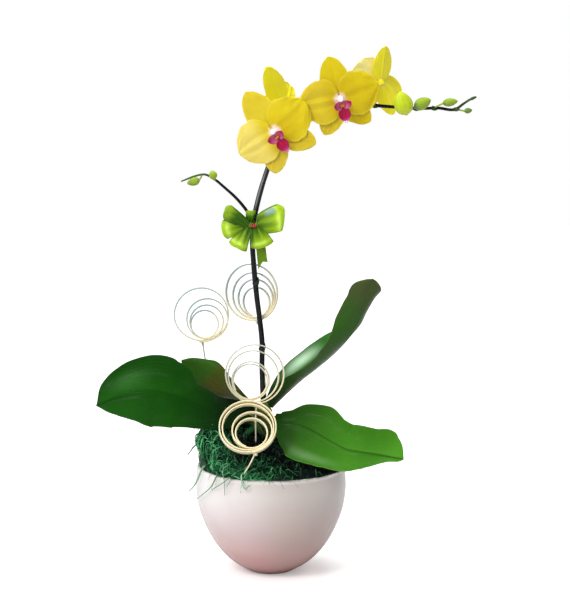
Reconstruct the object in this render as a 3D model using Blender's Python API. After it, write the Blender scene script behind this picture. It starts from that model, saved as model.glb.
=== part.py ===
# A potted moth orchid, in metres with +Z up. The origin is the centre of the pot's foot on the
# ground, -Y is the front and +X the side that the flower spike leans to. Sizes and places below
# are in millimetres and are scaled once, where each mesh is made.
import math
import random

import bmesh
import bpy
import numpy as np

MM = 0.001
GAP = 0.3                     # clearance between pieces that touch

# Pot
POT_HEIGHT = 108.5
POT_WALL = 4.0
POT_SIDES = 32
POT_FOOT_RADIUS = 22.0
POT_OUTSIDE = [(39.4, 10.7), (54.7, 26.6), (65.9, 46.1), (73.1, 66.2), (76.0, 88.0), (74.8, 105.5)]
POT_FLOOR = 7.0

# Bark and moss
BARK_TOP = 95.7
MOSS_BOTTOM = BARK_TOP + GAP
MOSS_EDGE_HEIGHT = 110.0
MOSS_DOME = 25.0
MOSS_RADIUS = 74.0
MOSS_TUFT = (-65.0, -6.0, 31.0)        # place and height of the high side
MOSS_HEAP = (-28.0, 0.0, 14.0)         # and of the heap beside the crown
MOSS_STRANDS = 23
STRAND_RADIUS = 0.8

# Crown
CROWN_RADIUS = 8.5
CROWN_BOTTOM = 88.0
CROWN_ROUTE = [(-6, 6, CROWN_BOTTOM), (-6, 6, 120), (-5, 6, 150), (-5, 6, 163), (-6, 7, 170)]
ROOT_RADIUS = 2.8

# Leaves. A row is the midrib's x, y, z, then the half width at the back and at the front, then
# the way the upper face looks (degrees from straight up towards the front) and the fold of the
# two halves about the midrib (degrees).
LEAF_THICKNESS = 1.8
LEAF_EDGE = 0.9
LEAF_LEFT = [
    (-11.4, 1.5, 160, 6, 8, 25, 45), (-24, 0, 160, 12, 14, 58, 40), (-37, -1, 161, 15, 18, 70, 32),
    (-55, -3, 163, 16, 20, 64, 24), (-71, -5, 170, 18, 26, 60, 16), (-83, -6, 176, 20, 31, 62, 12),
    (-92, -7, 180, 31, 36, 62, 10), (-101, -8, 182, 35, 38, 62, 10), (-115, -8, 185, 37, 40, 62, 10),
    (-131, -9, 185, 34, 38, 60, 10), (-146, -10, 182, 29, 30, 58, 10), (-159, -11, 178, 22, 21, 56, 8),
    (-169, -12, 174, 12, 11, 54, 6), (-175, -12, 171, 2, 2, 52, 4)]
LEAF_BACK = [
    (-10, 12, 160, 8, 7, 10, 45), (-19, 14, 163, 12, 8, -10, 38), (-28, 16, 169, 17, 9, -30, 30),
    (-43, 21, 178, 20, 14, -50, 22), (-57, 26, 186, 20, 19, -70, 14), (-69, 29, 195, 17, 19, -75, 12),
    (-80, 30, 204, 15, 10, -75, 10), (-87, 30, 208, 11, 5, -75, 8), (-91, 30, 210, 3, 2, -75, 5)]
LEAF_UPRIGHT = [
    (1, 9, 165, 10, 9, 15, 52), (13, 10, 177, 18, 20, 10, 54), (30, 13, 192, 24, 28, 15, 44),
    (44, 15, 203, 25, 29, 16, 40), (57, 17, 213, 25, 29, 12, 43), (70, 19, 225, 25, 28, 2, 41),
    (80, 20, 236, 27, 27, -20, 35), (87, 21, 248, 26, 26, -35, 30), (92, 21, 261, 24, 24, -40, 28),
    (96, 21, 273, 21, 21, -49, 24), (99, 20, 285, 16, 12, -60, 10), (103, 19, 294, 9, 2, -60, 8)]
LEAF_RIGHT = [
    (2, 0, 155, 7, 8, 30, 42), (8, -8, 153, 11, 14, 45, 30), (19, -14, 153, 14, 28, 54, 20),
    (30, -19, 152, 19, 38, 58, 14), (45, -25, 146, 28, 41, 58, 14), (62, -30, 137, 32, 34, 58, 14),
    (75, -33, 131, 33, 27, 58, 12), (88, -35, 129, 29, 21, 58, 12), (102, -36, 127, 27, 14, 56, 10),
    (116, -37, 125, 27, 7, 54, 10), (123, -38, 124, 23, 5, 52, 8), (129, -38, 123, 14, 4, 52, 6),
    (132, -38, 122, 3, 2, 50, 4)]

# Flower spike: x, y, z and radius
SPIKE_BASE = 152.0
SPIKE_ROWS = 40
SPIKE = [
    (-6, 7, SPIKE_BASE, 2.9), (-8, 8, 178, 2.8), (-9, 8, 204, 2.7), (-9, 8, 234, 2.7),
    (-11.4, 8, 257, 2.7), (-13.9, 7, 277, 2.7), (-16.8, 6, 308, 2.7), (-18.2, 4, 331, 2.7),
    (-17.2, 3, 354, 2.7), (-13.1, 2, 374, 2.7), (-6.6, 2, 397, 2.6), (0.3, 2, 416, 2.5),
    (9.3, 3, 434, 2.4), (20, 4, 451, 2.3), (34, 4, 465, 2.2), (51, 3, 472, 2.1), (73, 1, 473, 1.9),
    (99, 0, 471, 1.8), (115, 0, 469.5, 1.7), (131, 0, 468.5, 1.6), (147, 0, 467.5, 1.5),
    (165, 0, 468, 1.5), (183, 0, 467, 1.4), (190, 0, 472, 1.2), (198, 0, 477, 1.1), (204, 0, 479, 0.9)]
SIDE_SPIKE = [
    (-17.6, 3.2, 355, 1.6), (-24.6, 1, 367, 1.6), (-34.4, -1, 379, 1.5), (-45.2, -2, 389, 1.4),
    (-56, -3, 398, 1.3), (-65, -4, 402.6, 1.1), (-75, -4, 401, 1.0), (-83, -4, 398, 0.9),
    (-89.4, -4, 395.6, 0.7)]
NODES_ON_SPIKE = [(-9, 8, 226), (-15.2, 6.5, 293), (-17, 2.8, 360), (4.4, 2.4, 425), (182, 0, 467)]

# Blooms: place of the centre, the way the face looks (degrees round from the front towards +X,
# then up), roll of the top sepal (degrees, leaning left as seen from in front), reach of the
# sepals, size and forward tilt of the two petals, and where the stalk leaves the spike
BLOOMS = [
    {"place": (4, -22, 446), "turn": -6, "lift": -4, "roll": 37, "reach": 43, "petals": 0.96,
     "closed": 0, "stalk": (18, 4, 449)},
    {"place": (68, -20, 478), "turn": 6, "lift": -6, "roll": 16, "reach": 40, "petals": 1.0,
     "closed": 0, "stalk": (80, 1, 472.6)},
    {"place": (109.5, 34, 491.5), "turn": 217, "lift": 6, "roll": 10, "reach": 37, "petals": 0.95,
     "closed": 12, "stalk": (113, 0, 469.7)},
    {"place": (13, 21, 470), "turn": 215, "lift": 4, "roll": -27, "reach": 41, "petals": 0.68,
     "closed": 37, "stalk": (24, 4, 455)}]
BLADE_THICKNESS = 0.9

# Buds: centre, length, radius, direction of the tip, and where the stalk leaves the spike
BUDS = [
    ("bud_1", (130, -12.5, 473.5), 24, 9.4, (-0.3, -0.15, 0.9), (139, 0, 468)),
    ("bud_2", (149.5, -7, 473), 18, 6.2, (0.8, -0.2, 0.4), (143, 0, 467.7)),
    ("bud_3", (177, -4, 474), 15, 4.1, (0.95, -0.1, 0.15), (161, 0, 468)),
    ("bud_4", (195, -1, 465.5), 8, 2.8, (0.9, 0, 0.1), (183, 0, 467)),
    ("side_bud_1", (-57, -8.8, 402.8), 9, 4.2, (-0.3, -0.1, 0.9), (-55, -3, 397)),
    ("side_bud_2", (-76.5, -5, 395.5), 13, 4.2, (-0.9, -0.1, -0.25), (-68, -4, 402.4))]

# Bow: each loop's direction in the front plane (degrees), the slope of its far end against that
# (degrees), reach, width, depth, place towards the back and root side
BOW_CENTRE = (-17, -3.1, 352)
BOW_THICKNESS = 0.8
BOW_NECK = 3.6
BOW_ROOT = 5.0
BOW_LOOPS = [
    {"aim": 150, "skew": 6, "reach": 27.0, "width": 15, "depth": 6.0, "back": -1.0, "side": -1},
    {"aim": 190, "skew": 2, "reach": 26.4, "width": 19, "depth": 6.5, "back": 0.6, "side": -1},
    {"aim": 243, "skew": -2, "reach": 25.5, "width": 20, "depth": 5.0, "back": -0.4, "side": -1},
    {"aim": 18, "skew": -20, "reach": 26.4, "width": 28, "depth": 7.5, "back": 0.3, "side": 1},
    {"aim": 291, "skew": -2, "reach": 22.0, "width": 20, "depth": 5.0, "back": -0.8, "side": 1},
    {"aim": 80, "skew": 10, "reach": 15, "width": 10, "depth": 3.0, "back": 1.2, "side": -1}]
BOW_TAIL = [(-14, -4, 347), (-11, -5, 340), (-9.5, -5, 328), (-8.5, -4, 318), (-7.5, -4, 308)]
BOW_TAIL_CUT = (0.0, 9.0, 8.0)        # how far the left tip, the notch and the right tip are drawn up
TIE_RADIUS = 0.7
# The tie crosses the neck in front, goes back over it past the spike's right, round the spike and
# forward again under the neck. Places are from the middle of the neck.
TIE_ROUTE = [
    (0, -4.3, 0), (0.1, -3.1, 3.1), (0.5, 0, 4.5), (2.4, 2.6, 4.4), (3.4, 4.4, 3.8), (3.8, 6.2, 2.8),
    (2.3, 9.1, 0.8), (-0.4, 10.1, 0), (-3.0, 9.1, -0.8), (-4.4, 6.2, -2.8), (-4.1, 4.4, -3.8),
    (-3.0, 2.6, -4.4), (-0.5, 0, -4.5), (-0.1, -3.1, -3.1)]

# Ring picks: the strip's thickness and its step inward a turn, the centre, loop radii outside in,
# where the loops gather and where the stem meets the outer loop (directions in the ring's plane,
# degrees), lean back and turn of the plane (degrees), and the stem's route down into the bark
STRIP_WIDTH = 5.5
STEM_RADIUS = 0.9
STEM_FOOT = 62.0
RING_PICKS = [
    {"strip": (1.1, 1.4), "centre": (-71, 40, 255), "radii": (28.0, 21.6, 19.0, 15.6), "gather": -70,
     "foot": -88, "lean": 4, "turn": 6,
     "stem": [(-68, 40, 213), (-58, 40, 175), (-47, 40, 135), (-42, 40, 110), (-40, 40, STEM_FOOT)]},
    {"strip": (1.1, 1.4), "centre": (-19.5, 22, 280.5), "radii": (29.2, 24.4, 22.4, 17.0), "gather": -60,
     "foot": -76, "lean": 4, "turn": -26,
     "stem": [(-11, 26, 245), (-12, 30, 200), (-13, 31, 150), (-13, 31, 110), (-13, 31, STEM_FOOT)]},
    {"strip": (1.2, 1.5), "centre": (-16, -16, 204), "radii": (29.8, 26.0, 23.0, 19.6), "gather": -116,
     "foot": -88, "lean": 10, "turn": 9,
     "stem": [(-15, -22, 165), (-15, -23, 140), (-15, -22, 115), (-15, -22, STEM_FOOT)]},
    {"strip": (1.4, 1.7), "centre": (-22.6, -50, 156), "radii": (29.0, 26.3, 20.5, 17.4), "gather": -44,
     "foot": -74, "lean": 30, "turn": 0,
     "stem": [(-20.5, -63, 121), (-25.5, -62, 111), (-27, -60, 98), (-27, -58, STEM_FOOT)]}]

# Strands of moss that hang over the rim
HANGING_STRANDS = [
    [(-60, -28, 118), (-66.5, -34, 114), (-73, -30, 100), (-76, -28, 94), (-82, -19, 85)],
    [(-42, -42, 116), (-51, -52.5, 113), (-57.5, -54, 100), (-68, -42, 87), (-74, -27, 79)],
    [(-26, -52, 116), (-34, -63, 114), (-44.5, -64, 106), (-58, -54.5, 95)],
    [(-38, -44, 120), (-47, -58, 115), (-45.5, -65, 106), (-45, -65, 92)],
    [(-24, -58, 114), (-28.5, -68, 113), (-28, -73, 107), (-24.3, -76, 101), (-20.5, -76.5, 105)],
    [(-68, 2, 128), (-76, 0, 128), (-82, 0, 121), (-84, 1, 118)]]


def clear_scene():
    for item in list(bpy.data.objects):
        bpy.data.objects.remove(item, do_unlink=True)


def finish(name, colour, roughness, metallic=0.0):
    material = bpy.data.materials.get(name) or bpy.data.materials.new(name)
    material.use_nodes = True
    shader = material.node_tree.nodes["Principled BSDF"]
    shader.inputs["Base Color"].default_value = (*colour, 1.0)
    shader.inputs["Roughness"].default_value = roughness
    shader.inputs["Metallic"].default_value = metallic
    material.diffuse_color = (*colour, 1.0)
    return material


def add_object(name, shape, material, smooth=True):
    points, faces = shape
    mesh = bpy.data.meshes.new(name)
    mesh.from_pydata([tuple(p) for p in np.asarray(points, float) * MM], [], faces)
    mesh.update()
    mesh.materials.append(material)
    if smooth:
        mesh.shade_smooth()
        mesh.set_sharp_from_angle(angle=math.radians(40))
    thing = bpy.data.objects.new(name, mesh)
    bpy.context.scene.collection.objects.link(thing)
    return thing


def bake_modifiers(thing):
    # The evaluated mesh takes the place of the mesh and its modifiers.
    depsgraph = bpy.context.evaluated_depsgraph_get()
    depsgraph.update()
    mesh = bpy.data.meshes.new_from_object(thing.evaluated_get(depsgraph))
    thing.modifiers.clear()
    thing.data = mesh


def keep_largest(thing):
    # A hollow that the union sealed is filled and a loose scrap is dropped.
    mesh = bmesh.new()
    mesh.from_mesh(thing.data)
    left = set(mesh.verts)
    islands = []
    while left:
        island = {left.pop()}
        front = list(island)
        while front:
            vertex = front.pop()
            near = {link.other_vert(vertex) for link in vertex.link_edges} & left
            left -= near
            island |= near
            front += near
        islands.append(island)
    islands.sort(key=len)
    scraps = [vertex for island in islands[:-1] for vertex in island]
    bmesh.ops.delete(mesh, geom=scraps, context="VERTS")
    mesh.to_mesh(thing.data)
    mesh.free()


def join(name, shapes, material, solver="MANIFOLD"):
    # One Boolean union over a collection makes the shapes one closed body.
    thing = add_object(name, shapes[0], material)
    group = bpy.data.collections.new(name + "_parts")
    bpy.context.scene.collection.children.link(group)
    for shape in shapes[1:]:
        piece = add_object(name + "_part", shape, material)
        bpy.context.scene.collection.objects.unlink(piece)
        group.objects.link(piece)
    union = thing.modifiers.new("Join", "BOOLEAN")
    union.operation = "UNION"
    union.operand_type = "COLLECTION"
    union.collection = group
    union.solver = solver
    bake_modifiers(thing)
    for piece in list(group.objects):
        bpy.data.objects.remove(piece, do_unlink=True)
    bpy.data.collections.remove(group)
    keep_largest(thing)
    thing.data.shade_smooth()
    thing.data.set_sharp_from_angle(angle=math.radians(40))
    return thing


def cut(thing, shapes):
    # Each shape's space is taken out of the object.
    for shape in shapes:
        cutter = add_object("cutter", shape, thing.data.materials[0])
        difference = thing.modifiers.new("Cut", "BOOLEAN")
        difference.operation = "DIFFERENCE"
        difference.object = cutter
        difference.solver = "MANIFOLD"
        bake_modifiers(thing)
        bpy.data.objects.remove(cutter, do_unlink=True)


def unit(vector):
    vector = np.asarray(vector, float)
    return vector / np.linalg.norm(vector, axis=-1, keepdims=True)


def smooth_route(points, count):
    # A smooth curve through rows of values; the first three are a place. Returns count + 1 rows.
    knots = np.array(points, float)
    spans = np.linalg.norm(np.diff(knots[:, :3], axis=0), axis=1)
    along = np.concatenate([[0.0], np.cumsum(spans)])
    slopes = np.gradient(knots, along, axis=0)
    rows = []
    for place in np.linspace(0.0, along[-1], count + 1):
        i = min(int(np.searchsorted(along, place, side="right")) - 1, len(spans) - 1)
        t = (place - along[i]) / spans[i]
        rows.append(
            knots[i] * (2 * t**3 - 3 * t**2 + 1) + knots[i + 1] * (3 * t**2 - 2 * t**3)
            + (slopes[i] * (t**3 - 2 * t**2 + t) + slopes[i + 1] * (t**3 - t**2)) * spans[i])
    return np.array(rows)


def tube(route, radii, sides, wide=1.0):
    # A closed tube along the route. wide flattens it across its second axis.
    route = np.asarray(route, float)
    radii = np.broadcast_to(radii, len(route))
    tangents = unit(np.gradient(route, axis=0))
    normal = unit(np.cross(tangents[0], (0.31, 0.87, 0.22)))
    points, faces = [], []
    for centre, tangent, radius in zip(route, tangents, radii):
        normal = unit(normal - tangent * np.dot(normal, tangent))
        side = np.cross(tangent, normal)
        for k in range(sides):
            angle = 2 * math.pi * k / sides
            points.append(centre + radius * (math.cos(angle) * normal + wide * math.sin(angle) * side))
    last = len(route) - 1
    for i in range(last):
        for k in range(sides):
            a, b = i * sides + k, i * sides + (k + 1) % sides
            faces.append((a, b, b + sides, a + sides))
    faces.append(tuple(reversed(range(sides))))
    faces.append(tuple(last * sides + k for k in range(sides)))
    return np.array(points), faces


def blade(surface, thickness):
    # A thin closed body about a grid of points. Both faces are split into the same triangles.
    rows, columns = surface.shape[:2]
    normal = unit(np.cross(np.gradient(surface, axis=0), np.gradient(surface, axis=1)))
    half = normal * np.broadcast_to(thickness, (rows, columns))[..., None] / 2
    points = np.concatenate([(surface + half).reshape(-1, 3), (surface - half).reshape(-1, 3)])
    under = rows * columns
    faces = []
    for i in range(rows - 1):
        for j in range(columns - 1):
            a, b = i * columns + j, (i + 1) * columns + j
            for one, two, three in ((a, b, b + 1), (a, b + 1, a + 1)):
                faces.append((one, two, three))
                faces.append((three + under, two + under, one + under))
    edge = [i * columns for i in range(rows)]
    edge += [(rows - 1) * columns + j for j in range(1, columns)]
    edge += [i * columns + columns - 1 for i in range(rows - 2, -1, -1)]
    edge += [j for j in range(columns - 2, 0, -1)]
    for a, b in zip(edge, edge[1:] + edge[:1]):
        faces.append((b, a, a + under))
        faces.append((b, a + under, b + under))
    return points, faces


def lathe(profile, sides):
    # A turned body. The profile runs from the axis at the bottom round the outside to the axis.
    points, faces = [], []
    rings = []
    for radius, height in profile:
        if radius == 0:
            rings.append([len(points)])
            points.append((0, 0, height))
            continue
        rings.append(list(range(len(points), len(points) + sides)))
        for k in range(sides):
            angle = 2 * math.pi * k / sides
            points.append((radius * math.cos(angle), radius * math.sin(angle), height))
    for low, high in zip(rings, rings[1:]):
        for k in range(sides):
            n = (k + 1) % sides
            if len(low) == 1:
                faces.append((low[0], high[n], high[k]))
            elif len(high) == 1:
                faces.append((low[k], low[n], high[0]))
            else:
                faces.append((low[k], low[n], high[n], high[k]))
    return np.array(points, float), faces


def egg(centre, length, radius, aim, sides=8, rings=6, blunt=0.42):
    # A bud: fullest nearer its base, drawn to a soft point.
    axis = unit(aim)
    route = []
    radii = []
    for i in range(rings):
        t = 0.03 + 0.94 * i / (rings - 1)
        route.append(np.array(centre) + axis * length * (t - 0.5))
        radii.append(radius * math.sin(math.pi * t ** (math.log(0.5) / math.log(blunt))) ** 0.62)
    return tube(route, radii, sides)


def inside_radius(height):
    outside = smooth_route([(POT_FOOT_RADIUS, 0, 0)] + [(r, 0, z) for r, z in POT_OUTSIDE], 40)
    return float(np.interp(height, outside[:, 2], outside[:, 0])) - POT_WALL


def pot():
    outside = smooth_route([(POT_FOOT_RADIUS, 0, 0)] + [(r, 0, z) for r, z in POT_OUTSIDE], 9)
    profile = [(0, 0)] + [(row[0], row[2]) for row in outside]
    lip = outside[-1][0]
    profile += [(lip - 0.3, POT_HEIGHT - 1.0), (lip - 1.2, POT_HEIGHT), (lip - POT_WALL + 1.2, POT_HEIGHT)]
    profile += [(lip - POT_WALL, POT_HEIGHT - 1.4)]
    for height in (88.0, 62.0, 38.0, 18.0):
        profile.append((inside_radius(height), height))
    profile += [(inside_radius(POT_FLOOR) - 8, POT_FLOOR), (0, POT_FLOOR)]
    add_object("pot", lathe(profile, POT_SIDES), finish("glaze", (0.86, 0.78, 0.77), 0.12))


def crown_shapes(extra=0.0):
    route = smooth_route([(*p, 0) for p in CROWN_ROUTE], 9)[:, :3]
    radii = [CROWN_RADIUS + extra] * 8 + [CROWN_RADIUS - 1.2 + extra, CROWN_RADIUS - 4.5 + extra]
    route[0][2] -= extra
    shapes = [tube(route, radii, 10)]
    for k in range(5):
        angle = math.radians(20 + 72 * k)
        reach = np.array([math.cos(angle), math.sin(angle), 0])
        start = np.array(CROWN_ROUTE[0]) + (0, 0, 5)
        root = [start, start + reach * 16 - (0, 0, 8), start + reach * 27 - (0, 0, 26),
                start + reach * (29 + 3 * (k % 2)) - (0, 0, 44)]
        root = smooth_route(root, 4)
        root[-1][2] -= extra
        shapes.append(tube(root, np.linspace(ROOT_RADIUS, ROOT_RADIUS * 0.7, 5) + extra, 5))
    return shapes


def aerial_root(extra=0.0):
    points = [(-8, 0, 146), (-18, -10, 147), (-26, -16, 140), (-29, -19, 128), (-28, -19, 112)]
    route = smooth_route(points, 8)
    return tube(route, np.linspace(3.4, 3.0, 9) + extra, 6)


def crown():
    thing = join("crown", crown_shapes() + [aerial_root()], finish("crown", (0.21, 0.29, 0.09), 0.5))
    cut(thing, [spike_tube(GAP, SPIKE_BASE - GAP)])


def spike_tube(extra=0.0, bottom=SPIKE_BASE):
    rows = smooth_route(SPIKE, SPIKE_ROWS)
    rows[0][2] = bottom
    return tube(rows[:, :3], rows[:, 3] + extra, 6)


def leaf_surface(rows, count, columns):
    # Rows along the midrib, each with a back half, the midrib and a front half.
    rows = smooth_route(rows, count)
    centre = rows[:, :3]
    tangents = unit(np.gradient(centre, axis=0))
    surface = []
    for row, tangent in zip(rows, tangents):
        up = np.array([-tangent[2], 0, tangent[0]]) * (1 if tangent[0] > 0 else -1)
        up = unit(up - tangent * np.dot(up, tangent))
        front = np.cross(tangent, up)
        front = front * (1 if front[1] < 0 else -1)
        back_width, front_width, look, fold = row[3:]
        line = []
        for k in range(-columns, columns + 1):
            share = abs(k) / columns
            lean = math.radians(look + (90 - fold) * (1 if k > 0 else -1))
            width = front_width if k > 0 else back_width
            arch = 0.10 * width * math.sin(math.pi * share) * (1 if k > 0 else -1)
            direction = math.cos(lean) * up + math.sin(lean) * front
            face = math.cos(lean + math.pi / 2) * up + math.sin(lean + math.pi / 2) * front
            line.append(row[:3] + width * share * direction + arch * face)
        surface.append(line)
    return np.array(surface)


def leaf(name, rows, colour):
    columns = 2
    surface = leaf_surface(rows, 16, columns)
    across = np.abs(np.arange(-columns, columns + 1)) / columns
    thickness = LEAF_THICKNESS + (LEAF_EDGE - LEAF_THICKNESS) * across**1.5
    if surface[-1][0][0] < surface[0][0][0]:
        surface = surface[:, ::-1]
    thing = add_object(name, blade(surface, thickness), finish(name, colour, 0.35))
    cut(thing, [crown_shapes(GAP)[0], spike_tube(GAP)])


def flower_spike():
    shapes = [spike_tube()]
    rows = smooth_route(SIDE_SPIKE, 14)
    shapes.append(tube(rows[:, :3], rows[:, 3], 5))
    for bloom in BLOOMS:
        shapes.append(bloom_stalk(bloom))
    for name, centre, length, radius, aim, start in BUDS:
        end = np.array(centre) - unit(aim) * (length * 0.5 + GAP)
        middle = (np.array(start) + end) / 2 - unit(aim) * 0.6
        shapes.append(tube(smooth_route([start, middle, end], 3), 0.9, 5))
    spike = smooth_route(SPIKE, SPIKE_ROWS)
    for node in NODES_ON_SPIKE:
        # A short sheath that wraps the stem at each joint.
        i = int(np.argmin(np.linalg.norm(spike[:, :3] - node, axis=1)))
        run = unit(spike[i + 1, :3] - spike[i - 1, :3])
        radius = spike[i, 3]
        places = [np.array(node) + run * d for d in (-2.5, 0.0, 6.5)]
        shapes.append(tube(places, [radius * 0.8, radius + 0.8, radius * 0.8], 6))
    join("flower_spike", shapes, finish("spike", (0.02, 0.035, 0.015), 0.25))


def bloom_frame(bloom):
    # Columns are the bloom's right, its top and its face, as seen from in front of it.
    turn, lift, roll = (math.radians(bloom[key]) for key in ("turn", "lift", "roll"))
    face = np.array([math.sin(turn) * math.cos(lift), -math.cos(turn) * math.cos(lift), math.sin(lift)])
    right = unit(np.cross((0, 0, 1), face))
    top = np.cross(face, right)
    across = math.cos(roll) * right + math.sin(roll) * top
    upward = math.cos(roll) * top - math.sin(roll) * right
    return np.stack([across, upward, face], axis=1)


def placed(shape, frame, place):
    points, faces = shape
    return points @ frame.T + np.array(place), faces


def bloom_stalk(bloom):
    frame = bloom_frame(bloom)
    back = np.array(bloom["place"]) - frame[:, 2] * (4.0 + GAP)
    rear = back - frame[:, 2] * 5.5
    return tube(smooth_route([bloom["stalk"], rear, back], 5), 1.25, 5)


def petal_surface(length, width, heart, point, cup, curl, count, columns):
    # A petal along +Y that faces +Z: heart puts the widest place, point sharpens the tip.
    surface = []
    for i in range(count + 1):
        t = math.sin(0.5 * math.pi * i / count) if point < 1 else i / count
        t = 0.04 + 0.955 * t
        swell = math.sin(math.pi * t ** heart) ** point
        half = max(width / 2 * swell, 1.3)
        line = []
        for k in range(-columns, columns + 1):
            share = k / columns
            x = half * share
            y = length * t * (1 - 0.04 * share * share)
            z = cup * (share * share - 0.35) * swell - curl * t * t
            line.append((x, y, z))
        surface.append(line)
    return np.array(surface)[:, ::-1]


def turned(shape, angle, lower=0.0):
    # The shape turned about the bloom's face axis by degrees from its top, and set back.
    points, faces = shape
    c, s = math.cos(math.radians(angle)), math.sin(math.radians(angle))
    spin = np.array([[c, -s, 0], [s, c, 0], [0, 0, 1]])
    return points @ spin.T - (0, 0, lower), faces


def bloom_tepals(number, bloom):
    reach = bloom["reach"]
    share = bloom["petals"]
    closed = math.radians(bloom["closed"])
    sepal = blade(petal_surface(reach, reach * 0.66, 0.88, 0.72, 0.8, 3.0, 5, 1), BLADE_THICKNESS)
    surface = petal_surface(reach * 1.02 * share, reach * 1.12 * share, 0.80, 0.52, -1.0, 3.2, 6, 2)
    forward = surface[..., 1] * math.sin(closed) + surface[..., 2] * math.cos(closed)
    surface[..., 1] = surface[..., 1] * math.cos(closed) - surface[..., 2] * math.sin(closed)
    surface[..., 2] = forward
    petal = blade(surface, BLADE_THICKNESS)
    side = blade(petal_surface(reach * 0.98, reach * 0.62, 0.92, 0.72, 0.8, 2.6, 5, 1), BLADE_THICKNESS)
    disc = tube([(0, 0, z) for z in (-4.0, -1.0, 2.0)], [2.0, 4.4, 3.6], 8)
    shapes = [disc, turned(sepal, 0, 2.3), turned(side, 143, 2.3), turned(side, -143, 2.2)]
    shapes += [turned(petal, 77, -0.2), turned(petal, -77, 0.1)]
    shapes = [placed(shape, bloom_frame(bloom), bloom["place"]) for shape in shapes]
    join(f"bloom_{number}_tepals", shapes, finish("petal", (0.83, 0.70, 0.07), 0.5))


def bloom_column(number, bloom):
    rows = [(0, 1.8, 2.0 + GAP), (0, 1.8, 4.0), (0, 1.6, 6.5), (0, 0.8, 9.0), (0, 0, 10.2)]
    shape = placed(tube(rows, [1.6, 1.9, 2.4, 2.3, 1.2], 7), bloom_frame(bloom), bloom["place"])
    add_object(f"bloom_{number}_column", shape, finish("column", (0.92, 0.85, 0.82), 0.4))


def bloom_lip(number, bloom):
    claw = tube([(0, -2.2, 2.1 + GAP), (0, -2.4, 3.4), (0, -4.2, 5.6)], [0.9, 1.1, 1.6], 5)
    callus = tube([(0, -4.6, 4.6), (0, -5.8, 6.6), (0, -6.6, 8.6)], [1.8, 2.2, 1.0], 6)
    middle = petal_surface(17, 12, 1.35, 0.8, 2.2, 1.0, 5, 1)
    points, faces = blade(middle, 1.0)
    points = points * (1, -1, 1)
    points = points[:, [0, 1, 2]] + (0, -4.6, 6.0)
    midlobe = points, [tuple(reversed(f)) for f in faces]
    shapes = [claw, callus, midlobe]
    for way in (-1, 1):
        wing = petal_surface(9.5, 7.5, 0.75, 0.6, 1.6, -2.5, 4, 1)
        points, faces = blade(wing, 1.0)
        lean, out = math.radians(28), math.radians(70 * way)
        x, y, z = points.T
        y, z = y * math.cos(lean) - z * math.sin(lean), y * math.sin(lean) + z * math.cos(lean)
        x, y = x * math.cos(out) + y * math.sin(out), -x * math.sin(out) + y * math.cos(out)
        shapes.append((np.stack([x, y - 6.6, z + 5.4], axis=1), faces))
    shapes = [placed(shape, bloom_frame(bloom), bloom["place"]) for shape in shapes]
    join(f"bloom_{number}_lip", shapes, finish("lip", (0.56, 0.05, 0.16), 0.45))


def blooms():
    for number, bloom in enumerate(BLOOMS, 1):
        bloom_tepals(number, bloom)
        bloom_column(number, bloom)
        bloom_lip(number, bloom)


def buds():
    for name, centre, length, radius, aim, start in BUDS:
        add_object(name, egg(centre, length, radius, aim), finish("bud", (0.48, 0.62, 0.06), 0.45))


def bow_loop(loop, turns=8, columns=1):
    # A ribbon that leaves the neck, turns over at its far end and comes back to the neck.
    aim, slope = math.radians(loop["aim"]), math.radians(loop["aim"] + loop["skew"])
    out = np.array([math.cos(aim), 0, math.sin(aim)])
    across = np.array([-math.sin(slope), 0, math.cos(slope)])
    root = np.array(BOW_CENTRE) + (loop["side"] * BOW_ROOT, loop["back"], 0)
    surface = []
    for i in range(turns + 1):
        t = i / turns
        away = math.sin(math.pi * t)
        depth = loop["depth"] * (math.cos(math.pi * t) * (0.25 + 0.75 * away**0.6) + 0.55 * away**0.6)
        wide = 2.4 + (loop["width"] / 2 - 2.4) * away**0.45
        line = []
        for k in range(-columns, columns + 1):
            share = k / columns
            reach = loop["reach"] * away**0.7 * (1 - 0.05 * share * share * away)
            line.append(root + out * reach + across * wide * share + (0, -depth, 0))
        surface.append(line)
    return blade(np.array(surface), BOW_THICKNESS)


def bow_tail():
    rows = smooth_route(BOW_TAIL, 6)
    surface = []
    for i, row in enumerate(rows):
        wide = 2.2 + 2.6 * min(i / 3, 1)
        tilt = 0.35
        line = []
        for share, drawn_up in zip((-1, 0, 1), BOW_TAIL_CUT):
            lift = drawn_up if i == len(rows) - 1 else 0.0
            line.append(row + (wide * share, tilt * wide * share, lift))
        surface.append(line)
    surface[-2] = [(low + high) / 2 for low, high in zip(surface[-3], surface[-1])]
    return blade(np.array(surface), BOW_THICKNESS)


def ribbon_bow():
    x, y, z = BOW_CENTRE
    places = [(x + d, y, z) for d in (-8.0, -4.6, -1.5, 1.5, 4.6, 8.0)]
    waist = BOW_NECK - 0.4
    neck = tube(places, [2.2, waist + 1.2, waist, waist, waist + 1.2, 2.2], 8)
    shapes = [neck] + [bow_loop(loop) for loop in BOW_LOOPS] + [bow_tail()]
    join("ribbon_bow", shapes, finish("ribbon", (0.47, 0.66, 0.09), 0.3))


def closed_tube(places, radius, sides):
    # A tube whose last section joins its first.
    places = np.array(places, float)
    tangents = unit(np.roll(places, -1, axis=0) - np.roll(places, 1, axis=0))
    middle = places.mean(axis=0)
    points, faces = [], []
    for place, tangent in zip(places, tangents):
        out = unit((place - middle) - tangent * np.dot(place - middle, tangent))
        side = np.cross(tangent, out)
        for k in range(sides):
            angle = 2 * math.pi * k / sides
            points.append(place + radius * (math.cos(angle) * out + math.sin(angle) * side))
    for i in range(len(places)):
        for k in range(sides):
            n = (k + 1) % sides
            near, far = i * sides, (i + 1) % len(places) * sides
            faces.append((near + k, near + n, far + n, far + k))
    return np.array(points), faces


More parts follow.
